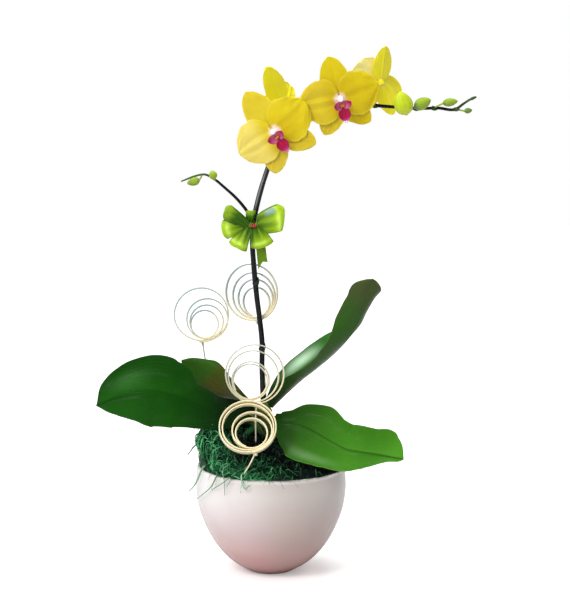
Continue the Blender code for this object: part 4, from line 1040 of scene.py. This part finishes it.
# Ribbon bow and its tie
bowSize = {
    "centre": (-17, -3.1, 352), "thickness": 0.45, "root": 5.0, "narrow": 2.4, "pleat": 1.7,
    "turns": 64, "columns": 14,
    "loops": [
        {"aim": 148, "skew": 6, "reach": 28.2, "width": 16, "depth": 6.0, "back": -1.0, "side": -1,
         "shade": 0.80, "dark": 0.35, "darkSide": 1, "swell": 0.36, "corners": (0.16, 0.16)},
        {"aim": 190, "skew": 2, "reach": 26.4, "width": 19, "depth": 6.5, "back": 0.6, "side": -1,
         "shade": 0.05, "dark": 0.3, "darkSide": -1, "swell": 0.36},
        {"aim": 243, "skew": -2, "reach": 25.5, "width": 20, "depth": 5.0, "back": -0.4, "side": -1,
         "shade": 0.05, "dark": 0.5, "darkSide": 1},
        {"aim": 20, "skew": -22, "reach": 28.4, "width": 27.6, "depth": 7.5, "back": 0.3, "side": 0.75,
         "shade": 0.0, "dark": 0.0, "darkSide": 1, "swell": 0.15, "corners": (0.03, 0.26), "glint": 0.95,
         "crease": 0.85},
        {"aim": 290, "skew": 0, "reach": 22.6, "width": 23.6, "depth": 5.0, "back": -1.2, "side": 0.32,
         "shade": 0.12, "dark": 0.6, "darkSide": -1, "corners": (0.16, 0.06)},
        {"aim": 80, "skew": 10, "reach": 15, "width": 10, "depth": 3.0, "back": 1.2, "side": -1,
         "shade": 0.85, "dark": 0.3, "darkSide": -1}],
    "tail": [(-14, -4, 347), (-11, -5, 340), (-9.5, -5, 328), (-8.5, -4, 318), (-7.5, -4, 308)],
    "satin": "#96bc16", "weft": "#a8cc20", "shade": "#35600a", "gleam": "#d2f55e", "glint": "#87a5ab",
    "flat": (0.022, 0.30)}
tieSize = {
    "strand": 0.42, "twist": 0.38, "turns": 9, "red": "#c2403a", "dark": "#7d1712", "olive": "#31420f"}
tieRoute = [
    (0, -4.3, 0), (0.1, -3.1, 3.1), (0.5, 0, 4.5), (2.4, 2.6, 4.4), (3.4, 4.4, 3.8), (3.8, 6.2, 2.8),
    (2.3, 9.1, 0.8), (-0.4, 10.1, 0), (-3.0, 9.1, -0.8), (-4.4, 6.2, -2.8), (-4.1, 4.4, -3.8),
    (-3.0, 2.6, -4.4), (-0.5, 0, -4.5), (-0.1, -3.1, -3.1)]


def satinMaterial():
    material, tree = newMaterial("ribbonSatin", 0.3, specularIorLevel=0.22)
    along, across, tone, gleam, glint = attributes(tree, "along", "across", "tone", "gleam", "glint")
    weft = placeGroup(tree, fibreGrain, colour=bowSize["satin"], grainColour=bowSize["weft"], along=along,
                      across=across, lines=4.0, length=7.0, amount=0.6)
    # Painted light and shade: gleam is a painted highlight, tone painted shade and glint a painted
    # reflection.
    body = mixColour(tree, gleam, weft["Colour"], bowSize["gleam"])
    body = mixColour(tree, tone, body, bowSize["shade"])
    body = mixColour(tree, glint, body, bowSize["glint"])
    selvage = span(tree, mathNode(tree, "ABSOLUTE", across), 0.94, 0.98, 0.0, 0.45)
    threads = addNode(tree, "TexWave", wave_type="BANDS", bands_direction="DIAGONAL")
    feed(tree, threads.inputs["Scale"], 1400.0)
    feed(tree, threads.inputs["Vector"], addNode(tree, "TexCoord").outputs["Object"])
    return finishMaterial(material, mixColour(tree, selvage, body, bowSize["shade"]),
                          threads.outputs["Fac"], 0.04, 0.3,
                          span(tree, weft["Height"], 0.0, 1.0, 0.24, 0.36))


def bowLoop(loop):
    # The ribbon leaves the neck in pleats, opens, turns over at its far end and comes back.
    turns, columns = bowSize["turns"], bowSize["columns"]
    aim = math.radians(loop["aim"])
    out = np.array([math.cos(aim), 0, math.sin(aim)])
    root = np.array(bowSize["centre"]) + (loop["side"] * bowSize["root"], loop["back"], 0)
    narrow = bowSize["narrow"]
    share = np.linspace(-1, 1, 2 * columns + 1)
    surface, tone, gleam, glint = [], [], [], []
    for i in range(turns + 1):
        t = i / turns
        away = math.sin(math.pi * t)
        slope = math.radians(loop["aim"] + loop["skew"] * away**2)
        across = np.array([-math.sin(slope), 0, math.cos(slope)])
        depth = loop["depth"] * (math.cos(math.pi * t) * (0.25 + 0.75 * away**0.6) + 0.55 * away**0.6)
        wide = narrow + (loop["width"] / 2 - narrow) * away ** loop.get("swell", 0.42)
        low, high = loop.get("corners", (0.09, 0.09))
        corner = 1 - np.where(share > 0, high, low) * share**4 * away**2
        reach = loop["reach"] * away**0.7 * corner + 0.5 * np.sin(2.6 * share + loop["aim"]) * away
        opening = min(1.0, away / 0.8)
        folds = np.cos(2.5 * math.pi * share + loop["aim"])
        pleat = bowSize["pleat"] * folds * opening**0.5 * (1 - opening) ** 0.7
        bulge = (2.2 if t < 0.5 else -1.2) * (1 - share**2) * away
        curl = 1.6 * share**4 * away**2
        rows = (root + np.outer(reach, out) + np.outer(wide * share, across)
                + np.outer(-depth - bulge - pleat + curl, (0, 1, 0)))
        surface.append(rows)
        # Painted shade and light: tone darkens shaded loops, the neck, the creases, one edge and the inside
        # of the loop; gleam is a painted highlight band near the turn; glint is a painted reflection.
        fold = (0.5 + 0.5 * folds) * (1 - opening)
        edge = loop["dark"] * np.clip(share * loop["darkSide"], 0, 1) ** 2
        behind = 0.55 if t > 0.52 else 0.0
        creaseShade = (0.75 * (1 - opening) ** 1.4 + 0.5 * fold) * loop.get("crease", 1.0)
        tone.append(np.clip(loop["shade"] * (1 - 0.45 * opening) + creaseShade + edge + behind, 0, 1))
        turnover = 0.5 * math.exp(-((t - 0.45) / 0.05) ** 2) + math.exp(-((t - 0.25) / 0.05) ** 2)
        bright = turnover * (1 - loop["shade"]) * (0.7 + 0.3 * np.cos(3.0 * share + 0.6))
        gleam.append(np.clip(bright, 0, 1))
        spot = math.exp(-((t - 0.16) / 0.07) ** 4) * np.exp(-((share - 0.72) / 0.2) ** 4)
        glint.append(loop.get("glint", 0) * spot)
    points, faces, values = slabShape(np.array(surface), bowSize["thickness"])
    for name, grid in (("tone", tone), ("gleam", gleam), ("glint", glint)):
        values[name] = np.tile(np.array(grid).ravel(), 2)
    return points, faces, values


def bowTail():
    rows = smoothRoute(bowSize["tail"], 40)

    def place(t, s):
        wide = 2.2 + 2.6 * min(t * 2, 1)
        cut = (9.0 * (1 - abs(s)) + (8.0 if s > 0 else 0.0) * s) * t**8
        fold = 0.9 * math.cos(2.2 * s + 5 * t) * (1 - 0.5 * t)
        return rows[round(t * 40)] + (wide * s, 0.35 * wide * s - fold, cut)

    # Painted shade: the tail is darkened.
    return slabShape(gridOf(40, 6, place), bowSize["thickness"], 0.7)


def bowShape():
    centre = np.array(bowSize["centre"])
    steps = np.linspace(-5.6, 5.6, 33)
    radii = np.interp(steps, [-5.6, -4.2, -1.2, 1.2, 4.2, 5.6], [2.2, 3.4, 2.9, 2.9, 3.4, 2.2])
    # Painted shade: the gathered neck is darkened.
    neck = tubeShape([centre + (d, 0, 0) for d in steps], radii, 40, 1.0, 9, 0.16, 0.75)
    return fused([neck] + [bowLoop(loop) for loop in bowSize["loops"]] + [bowTail()])


def tieMaterial():
    material, tree = newMaterial("twistTie", 0.38, coatWeight=0.3)
    skin = placeGroup(tree, mottle, colour=tieSize["red"], patchColour=tieSize["dark"], scale=700.0,
                      amount=0.8)
    body = mixColour(tree, attribute(tree, "tone"), skin["Colour"], tieSize["olive"])
    return finishMaterial(material, body, noise(tree, 900.0), 0.1, 0.5)


def tieShape():
    # Two strands twisted about each other, knotted in front with two short ends.
    centre = np.array(bowSize["centre"])
    route = smoothRoute([centre + place for place in tieRoute + tieRoute[:1]], 150)
    tangents = unitOf(np.gradient(route, axis=0))
    shapes = []
    for start in (0.0, math.pi):
        strand = []
        for i, (place, tangent) in enumerate(zip(route, tangents)):
            normal = unitOf(np.cross(tangent, (0.2, 0.1, 0.97)))
            side = np.cross(tangent, normal)
            angle = start + i * 2 * math.pi * tieSize["turns"] / 150
            strand.append(place + tieSize["twist"] * (math.cos(angle) * normal + math.sin(angle) * side))
        shapes.append(tubeShape(strand, tieSize["strand"], 10, tone=1.0))
    front = centre + tieRoute[0]
    angles = np.linspace(0, 2 * math.pi, 30)
    for n in range(3):
        ring = [front[0] - 1.7 + 1.7 * n + 0.35 * np.sin(angles), front[1] - 0.3 + 1.15 * np.cos(angles),
                front[2] + 1.2 * np.sin(angles)]
        shapes.append(tubeShape(np.stack(ring, axis=1), 0.8, 12))
    for way in (-1, 1):
        end = [front + (way * 1.2, -0.8, 0), front + (way * 2.6, -1.2, 0.5 * way),
               front + (way * 3.7, -1.0, -0.6)]
        shapes.append(tubeShape(smoothRoute(end, 14), tieSize["strand"], 10))
    return fused(shapes)


bow = addPiece("satinBow", bowShape(), satinMaterial(), ["ribbon_bow"], 50)
tie = addPiece("twistTie", tieShape(), tieMaterial(), ["bow_tie"], 60)
print("bow tied")

# Ring picks
caneSize = {
    "stem": 0.75, "steps": 72, "light": "#fff8dc", "grain": "#e2cd98", "stain": "#e3cd96",
    "edge": "#dcd2a8", "blueGrey": "#9fb0b0",
    "picks": [
        {"bar": 1.3, "wide": 5.0, "centre": (-71, 40, 255), "gather": -95, "foot": -88, "lean": 4,
         "turn": 6, "grey": 1.0,
         "loops": [(0, 0, 27.6), (6.0, -4.4, 20.9), (5.3, -7.0, 17.0), (3.2, -9.4, 14.0)],
         "stem": [(-68, 40, 213), (-58, 40, 175), (-47, 40, 135), (-42, 40, 110), (-40, 40, 62)]},
        {"bar": 1.3, "wide": 3.2, "centre": (-19.5, 22, 280.5), "gather": -80, "foot": -76, "lean": 4,
         "turn": -26, "grey": 1.0,
         "loops": [(0, 0, 28.9), (2.6, -3.2, 23.6), (4.6, -5.6, 19.4), (5.8, -9.0, 14.8)],
         "stem": [(-11, 26, 245), (-7, 30, 200), (-5.2, 31, 172), (-4, 31, 150), (-4, 31, 110),
                  (-4, 31, 62)]},
        {"bar": 1.2, "wide": 5.0, "centre": (-16, -16, 204), "gather": -122, "foot": -88, "lean": 10,
         "turn": 9, "grey": 0.6,
         "loops": [(0, 0, 29.3), (-1.5, -2.0, 25.4), (-4.2, -6.4, 18.9), (-4.6, -7.0, 17.2)],
         "stem": [(-15, -22, 165), (-15, -23, 140), (-15, -22, 115), (-15, -22, 62)]},
        {"bar": 1.4, "wide": 5.2, "centre": (-22.6, -50, 157), "gather": -80, "foot": -74, "lean": 36,
         "turn": 0, "grey": 0.0,
         "loops": [(0, 0, 27.9), (0.4, -0.8, 25.3), (4.4, -3.8, 19.6), (3.8, -6.6, 15.6)],
         "stem": [(-20.5, -66, 123), (-26.3, -65, 112), (-27.6, -61, 98), (-27, -58, 62)]}]}


def caneMaterial():
    material, tree = newMaterial("caneStrip", 0.42, specularIorLevel=0.35)
    along, across, tone, grey = attributes(tree, "along", "across", "tone", "grey")
    strip = placeGroup(tree, fibreGrain, colour=caneSize["light"], grainColour=caneSize["grain"],
                       along=along, across=across, lines=16.0, length=26.0, amount=0.6)
    stain = placeGroup(tree, mottle, colour=strip["Colour"], patchColour=caneSize["stain"], scale=45.0,
                       amount=0.45)
    aged = mixColour(tree, times(tree, tone, 0.6), stain["Colour"], caneSize["edge"])
    body = mixColour(tree, grey, aged, caneSize["blueGrey"])
    return finishMaterial(material, body, strip["Height"], 0.1, 0.6)


def caneCoil(pick):
    # Each loop keeps its own centre and radius and eases into the next opposite where they gather.
    right, top, axis = facing(pick["turn"], pick["lean"])
    loops, steps = np.array(pick["loops"], float), caneSize["steps"]
    path, grey = [], []
    for i in range(len(loops) * steps - steps // 14):
        turns = i / steps
        beyond = max(0.0, turns - 0.5)
        low = int(beyond)
        high = min(low + 1, len(loops) - 1)
        share = within((beyond - low - 0.28) / 0.44)
        share = share * share * (3 - 2 * share)
        x, z, radius = loops[low] * (1 - share) + loops[high] * share
        angle = math.radians(pick["gather"]) + 2 * math.pi * turns
        out = math.cos(angle) * right + math.sin(angle) * top
        path.append(np.array(pick["centre"], float) + x * right + z * top + radius * out)
        # Each coil turns blue-grey toward one side, the far picks most.
        grey.append(pick["grey"] * within(0.5 + 0.6 * math.sin(angle - 0.5)))
    path = np.array(path)
    tangents = unitOf(np.gradient(path, axis=0))
    # The strip's section is a flat bar with rounded edges.
    section = [(-0.5, -0.25), (-0.5, 0.25), (-0.42, 0.5), (0, 0.5), (0.42, 0.5), (0.5, 0.25), (0.5, -0.25),
               (0.42, -0.5), (0, -0.5), (-0.42, -0.5)]
    points, across, tone = [], [], []
    for i, (place, tangent) in enumerate(zip(path, tangents)):
        thin = np.cross(tangent, axis)
        wide = pick["wide"] * (1 + 0.03 * math.sin(i * 0.05))
        for u, v in section:
            points.append(place + axis * u * wide + thin * v * pick["bar"])
            across.append(u * 2)
            tone.append(1.0 if abs(u) > 0.45 else 0.0)
    count, last = len(section), len(path) - 1
    faces = [(a, d, c, b) for a, b, c, d in ringFaces(last + 1, count)]
    faces += [tuple(range(count)), tuple(last * count + k for k in reversed(range(count)))]
    along = np.repeat(np.linspace(0, 4, len(path)), count)
    return np.array(points), faces, {"along": along, "across": np.array(across), "tone": np.array(tone),
                                     "grey": np.repeat(grey, count)}


def caneStem(pick):
    right, top, axis = facing(pick["turn"], pick["lean"])
    foot = math.radians(pick["foot"])
    out = math.cos(foot) * right + math.sin(foot) * top
    rim = np.array(pick["centre"], float) + out * pick["loops"][0][2]
    down = unitOf(np.array(pick["stem"][0]) - rim)
    route = smoothRoute([rim - out * 0.5, rim + down * 2] + pick["stem"], 60)
    radii = caneSize["stem"] * (1 + 0.06 * ripple(np.linspace(0, 30, 61), int(pick["gather"]) % 17))
    stem = tubeShape(route, radii, 14)
    # A thread is wound four times round the strip and the head of the stem.
    angles = np.linspace(0, 2 * math.pi, 22)[:, None]
    ring = 1.05 * (np.cos(angles) * axis + np.sin(angles) * np.cross(out, axis))
    wrap = [tubeShape(rim + out * (1.0 + 0.75 * n) + ring, 0.32, 8, tone=0.9) for n in range(4)]
    shape = fused([stem] + wrap)
    shape[2]["grey"] = np.full(len(shape[0]), 0.7 * pick["grey"])
    return shape


caneSkin = caneMaterial()
for number, pick in enumerate(caneSize["picks"], 1):
    addPiece(f"ringPick.{number}", fused([caneCoil(pick), caneStem(pick)]), caneSkin,
             [f"ring_pick_{number}"], 40)
print("ring picks bent")

# Moss
mossSize = {
    "bottom": 96.0, "edge": 110.0, "dome": 25.0, "radius": 74.0, "wall": 70.5, "rim": 109.4,
    "coreUnder": 2.6, "sides": 120, "rings": 40,
    "tuft": (-65.0, -6.0, 31.0), "heap": (-28.0, 0.0, 14.0), "clump": (-16.0, -58.0), "seed": 7,
    "fibres": {"dark": 1400, "mid": 1400, "bright": 900}, "strays": (46, 30), "bank": 420,
    "hanging": [
        [(-60, -28, 118), (-66.5, -34, 114), (-73, -30, 100), (-76, -28, 94), (-82, -19, 85)],
        [(-42, -42, 116), (-51, -52.5, 113), (-57.5, -54, 100), (-68, -42, 87), (-74, -27, 79)],
        [(-26, -52, 116), (-34, -63, 114), (-44.5, -64, 106), (-58, -54.5, 95)],
        [(-38, -44, 120), (-47, -58, 115), (-45.5, -65, 106), (-45, -65, 92)],
        [(-24, -58, 114), (-28.5, -68, 113), (-28, -73, 107), (-24.3, -76, 101), (-20.5, -76.5, 105)],
        [(-68, 2, 128), (-76, 0, 128), (-82, 0, 121), (-84, 1, 118)]],
    "colours": {
        "dark": ("#0b2e1c", "#04100a"), "mid": ("#2b7a48", "#16502e"), "bright": ("#5cb878", "#35894f")},
    "gloom": "#050c0a", "dry": "#8fb196"}


def mossHeight(x, y):
    edge = np.maximum(0.0, 1 - (x * x + y * y) / mossSize["radius"] ** 2)
    tuft, heap = mossSize["tuft"], mossSize["heap"]
    bump = tuft[2] * np.exp(-(((x - tuft[0]) / 22) ** 2 + ((y - tuft[1]) / 32) ** 2))
    bump = bump + heap[2] * np.exp(-(((x - heap[0]) / 20) ** 2 + ((y - heap[1]) / 24) ** 2))
    return mossSize["edge"] + mossSize["dome"] * edge**0.8 + bump


def mossMaterial(name):
    first, second = mossSize["colours"][name]
    material, tree = newMaterial("moss" + name.capitalize(), 0.5, specularIorLevel=0.2)
    along, across, tone, dry = attributes(tree, "along", "across", "tone", "dry")
    strand = placeGroup(tree, fibreGrain, colour=first, grainColour=second, along=along, across=across,
                        lines=5.0, length=5.0, amount=0.5)
    # Painted shade: tone darkens the fibres toward gloom.
    body = mixColour(tree, tone, strand["Colour"], mossSize["gloom"])
    body = mixColour(tree, dry, body, mossSize["dry"])
    return finishMaterial(material, body, strand["Height"], 0.08, 0.5)


def mossCore():
    # The mound under the fibres.
    draw = random.Random(mossSize["seed"])
    wall, under, sides, rings = (mossSize[key] for key in ("wall", "coreUnder", "sides", "rings"))
    turns = [2 * math.pi * k / sides for k in range(sides)]
    points = [(0, 0, mossSize["bottom"])]
    for radius, height in ((wall, mossSize["bottom"]), (wall, 108.2), (wall + 1.2, 109.2)):
        points += [(radius * math.cos(turn), radius * math.sin(turn), height) for turn in turns]
    for i in range(rings):
        radius = (wall + 1.5) * (1 - i / rings)
        for turn in turns:
            x, y = radius * math.cos(turn), radius * math.sin(turn)
            lump = math.sin(x * 0.37 + 1.3) * math.sin(y * 0.41) + math.sin(x * 0.9 + y * 0.7)
            points.append((x, y, float(mossHeight(x, y)) - under + 0.8 * lump + draw.uniform(-0.6, 0.6)))
    points.append((0, 0, float(mossHeight(0, 0)) - under))
    faces = ringFaces(3 + rings, sides, 1)
    top = 1 + (2 + rings) * sides
    for k in range(sides):
        n = (k + 1) % sides
        faces += [(0, 1 + n, 1 + k), (top + k, top + n, len(points) - 1)]
    points = np.array(points, float)
    # Painted shade: the mound under the fibres is darkened.
    tone = np.full(len(points), 0.8)
    return points, faces, {"tone": tone, "along": points[:, 0] / 9, "across": points[:, 1] / 9}


def mossFibre(draw, kind):
    # A curled flat fibre that dives in and out of the mound.
    angle = draw.uniform(0, 2 * math.pi)
    radius = (mossSize["radius"] + 0.5) * math.sqrt(draw.uniform(0.0, 1.0))
    x, y = radius * math.cos(angle), radius * math.sin(angle)
    heading = draw.uniform(0, 2 * math.pi)
    bend = draw.uniform(-0.10, 0.10) if draw.random() < 0.8 else draw.uniform(-0.28, 0.28)
    step = draw.uniform(1.3, 2.4)
    count = draw.randint(8, 13)
    lift = draw.uniform(-2.5, 2.4) + (1.2 if kind == "bright" else 0.0)
    rise = draw.uniform(0.5, 3.6)
    beat = draw.uniform(0.4, 0.9)
    phase = draw.uniform(0, 6.28)
    points = []
    for i in range(count):
        heading += bend + draw.uniform(-0.10, 0.10)
        x += step * math.cos(heading)
        y += step * math.sin(heading)
        reach = math.hypot(x, y)
        out = mossSize["radius"] + 2.2
        if reach > out:
            x, y = x * out / reach, y * out / reach
        # The moss sinks a little at the front right.
        sunk = 0.8 + 2.5 * within((x - 8) / 12) * within((-12 - y) / 14)
        z = float(mossHeight(x, y)) + lift + rise * math.sin(phase + beat * i) - sunk
        points.append((x, y, max(z, mossSize["rim"] if reach > 70 else 100)))
    thick = draw.uniform(0.35, 0.75)
    shape = tubeShape(points, thick * np.sin(np.linspace(0.5, 2.64, count)), 4, draw.uniform(0.35, 0.6))
    # Painted shade: it is darker toward the front and the right, but not on the clump or near the left rim.
    clump = math.exp(-(((x - mossSize["clump"][0]) / 11) ** 2 + ((y - mossSize["clump"][1]) / 12) ** 2))
    shade = draw.uniform(-0.3, 0.2) + 1.1 * within((25 - y) / 40, 0.4) * within((x + 64) / 32) - 0.8 * clump
    shade -= 0.6 * within((math.hypot(x, y) - 64) / 6) * within((30 - x) / 25)
    shape[2]["tone"] = np.full(len(shape[0]), within(shade))
    return shape


def strayFibre(draw):
    # Loose hairs that stand off the mound or hang over the rim at the front and left.
    angle = math.radians(draw.uniform(150, 285))
    outward = np.array([math.cos(angle), math.sin(angle), 0])
    along = np.array([-outward[1], outward[0], 0]) * draw.choice((-1, 1))
    x, y = outward[:2] * draw.uniform(62, 71)
    start = np.array([x, y, float(mossHeight(x, y)) + draw.uniform(-2, 3)])
    length = draw.uniform(9, 26)
    sag = draw.uniform(0.1, 1.1)
    points = []
    for t in np.linspace(0, 1, 10):
        away = min(length * 0.55 * t, 79.3 - math.hypot(x, y))
        place = start + outward * away + along * length * 0.5 * t * t
        place[2] += 2.5 * math.sin(3 * t) - sag * length * t * t
        points.append(place)
    return tubeShape(points, np.linspace(0.42, 0.16, 10), 5, 0.6, tone=draw.uniform(0, 0.5))


def bankFibre(draw):
    # Short fibres that cover the steep bank between the rim and the raised moss at the left.
    angle = math.radians(draw.uniform(140, 265))
    reach = draw.uniform(70.5, 73.2)
    top = float(mossHeight(reach * math.cos(angle), reach * math.sin(angle))) + 1.0
    start, run = draw.uniform(109.6, top), draw.uniform(-0.16, 0.16)
    drop, beat = draw.uniform(-7, 7), draw.uniform(0.5, 2.5)
    points = []
    for t in np.linspace(0, 1, 9):
        turn = angle + run * t
        level = min(max(start + drop * t + 1.2 * math.sin(5 * t + beat), mossSize["rim"]), top + 2)
        points.append((reach * math.cos(turn), reach * math.sin(turn), level))
    return tubeShape(points, 0.5 * np.sin(np.linspace(0.5, 2.64, 9)), 4, 0.5, tone=draw.uniform(0, 0.45))


def hangingShapes(draw):
    shapes = []
    for row in mossSize["hanging"]:
        route = smoothRoute(row, 30)
        strand = tubeShape(route, np.linspace(1.25, 0.65, 31), 8, 0.45, tone=0.0)
        strand[2]["dry"] = np.full(len(strand[0]), draw.uniform(0.7, 0.95))
        shapes.append(strand)
    return shapes


def mossPieces():
    draw = random.Random(mossSize["seed"])
    made = {}
    for kind, count in mossSize["fibres"].items():
        made[kind] = [mossFibre(draw, kind) for _ in range(count)]
    midStrays, brightStrays = mossSize["strays"]
    made["mid"] += [strayFibre(draw) for _ in range(midStrays)]
    made["mid"] += [bankFibre(draw) for _ in range(mossSize["bank"])]
    made["bright"] += [strayFibre(draw) for _ in range(brightStrays)] + hangingShapes(draw)
    made["dark"].append(mossCore())
    for kind, shapes in made.items():
        addPiece("mossFibre." + kind, fused(shapes), mossMaterial(kind),
                 ["moss"] if kind == "dark" else (), 70)


mossPieces()
print("moss laid")


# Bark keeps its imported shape.
barkColours = {"chip": "#4b3221", "gap": "#24160d", "grit": "#6b4a30"}


def barkMaterial():
    material, tree = newMaterial("barkChips", 0.85)
    chips = placeGroup(tree, mottle, colour=barkColours["chip"], patchColour=barkColours["gap"], scale=120.0,
                       amount=0.9)
    grit = times(tree, noise(tree, 400.0), 0.6)
    body = mixColour(tree, grit, chips["Colour"], barkColours["grit"])
    return finishMaterial(material, body, plus(tree, chips["Mask"], noise(tree, 300.0)), 1.2, 0.8)


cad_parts["potting_bark"].material_slots[0].material = barkMaterial()
print("bark dressed")


# Stage, light and camera
stageSize = {
    "floor": 6.0, "floorWhite": 0.92, "floorBounce": 0.55, "floorGlow": 0.25,
    "skyTop": 1.05, "skyLow": 0.35, "skyLean": 0.40, "skyGloss": 0.14,
    "lights": [
        {"name": "keyLight", "place": (-1.1, -1.6, 1.7), "size": 0.9, "power": 28.0, "shines": False},
        {"name": "fillLight", "place": (1.6, -1.4, 0.7), "size": 1.2, "power": 3.0, "shines": False},
        {"name": "topLight", "place": (0.0, 0.1, 1.9), "size": 1.2, "power": 18.0, "shines": False},
        {"name": "leftCard", "place": (-1.7, -0.9, 1.5), "size": 0.9, "power": 14.0, "shines": True},
        {"name": "frontCard", "place": (-0.35, -2.6, 1.5), "size": 0.34, "power": 4.5, "shines": True},
        {"name": "rightCard", "place": (2.0, 0.7, 0.55), "size": 0.9, "power": 9.0, "shines": True}],
    "lit": (0, 0, 0.25),
    "camera": (0.0142, -2.1753, 0.6029), "target": (0.0142, 0.0, 0.2739), "lens": 130.9, "sensor": 36.0}


def aimAt(thing, target):
    away = Vector(target) - thing.location
    thing.rotation_euler = away.to_track_quat("-Z", "Y").to_euler()


def setFloor():
    half = stageSize["floor"] / 2
    mesh = bpy.data.meshes.new("floorSheet")
    corners = [(-half, -half, 0), (half, -half, 0), (half, half, 0), (-half, half, 0)]
    mesh.from_pydata(corners, [], [(0, 1, 2, 3)])
    material, tree = newMaterial("floorPaper", 0.9, specularIorLevel=0.1)
    shader = tree.nodes["Principled BSDF"]
    straight = addNode(tree, "LightPath").outputs["Is Camera Ray"]
    white, dim = stageSize["floorWhite"], stageSize["floorBounce"]
    paper = mixColour(tree, straight, (dim, dim, dim, 1.0), (white, white, white, 1.0))
    feed(tree, shader.inputs["Base Color"], paper)
    feed(tree, shader.inputs["Emission Color"], (1.0, 1.0, 1.0, 1.0))
    feed(tree, shader.inputs["Emission Strength"], times(tree, straight, stageSize["floorGlow"]))
    mesh.materials.append(material)
    floor = addObject("floorSheet", mesh)


def setLights():
    for light in stageSize["lights"]:
        lamp = bpy.data.lights.new(light["name"], "AREA")
        lamp.size = light["size"]
        lamp.energy = light["power"]
        holder = addObject(light["name"], lamp)
        holder.location = light["place"]
        aimAt(holder, stageSize["lit"])
        holder.visible_glossy = light["shines"]
        holder.visible_diffuse = not light["shines"]


def setAir():
    # The light of the sky grows upward and to the left, and gloss sees less of it.
    world = bpy.data.worlds.new("studioAir")
    world.use_nodes = True
    tree = world.node_tree
    sky = tree.nodes["Background"]
    feed(tree, sky.inputs["Color"], (1.0, 1.0, 1.0, 1.0))
    heading = addNode(tree, "SeparateXYZ")
    feed(tree, heading.inputs[0], addNode(tree, "TexCoord").outputs["Generated"])
    level = span(tree, heading.outputs["Z"], -0.1, 0.8, stageSize["skyLow"], stageSize["skyTop"])
    lean = times(tree, heading.outputs["X"], -stageSize["skyLean"])
    rays = addNode(tree, "LightPath")
    dimmer = times(tree, rays.outputs["Is Glossy Ray"], 1.0 - stageSize["skyGloss"])
    level = times(tree, level, mathNode(tree, "SUBTRACT", 1.0, dimmer))
    feed(tree, sky.inputs["Strength"], times(tree, level, plus(tree, lean, 1.0)))
    shown = addNode(tree, "Background")
    feed(tree, shown.inputs["Strength"], 1.0)
    feed(tree, shown.inputs["Color"], (1.0, 1.0, 1.0, 1.0))
    choose = addNode(tree, "MixShader")
    for number, source in enumerate((rays.outputs["Is Camera Ray"], sky.outputs[0], shown.outputs[0])):
        feed(tree, choose.inputs[number], source)
    feed(tree, tree.nodes["World Output"].inputs["Surface"], choose.outputs[0])
    bpy.context.scene.world = world


def setCamera():
    view = bpy.data.cameras.new("viewer")
    view.lens = stageSize["lens"]
    view.sensor_width = stageSize["sensor"]
    viewer = addObject("viewer", view)
    viewer.location = stageSize["camera"]
    aimAt(viewer, stageSize["target"])
    bpy.context.scene.camera = viewer
    bpy.context.scene.view_settings.view_transform = "Standard"


setFloor()
setLights()
setAir()
setCamera()
print("stage lit")
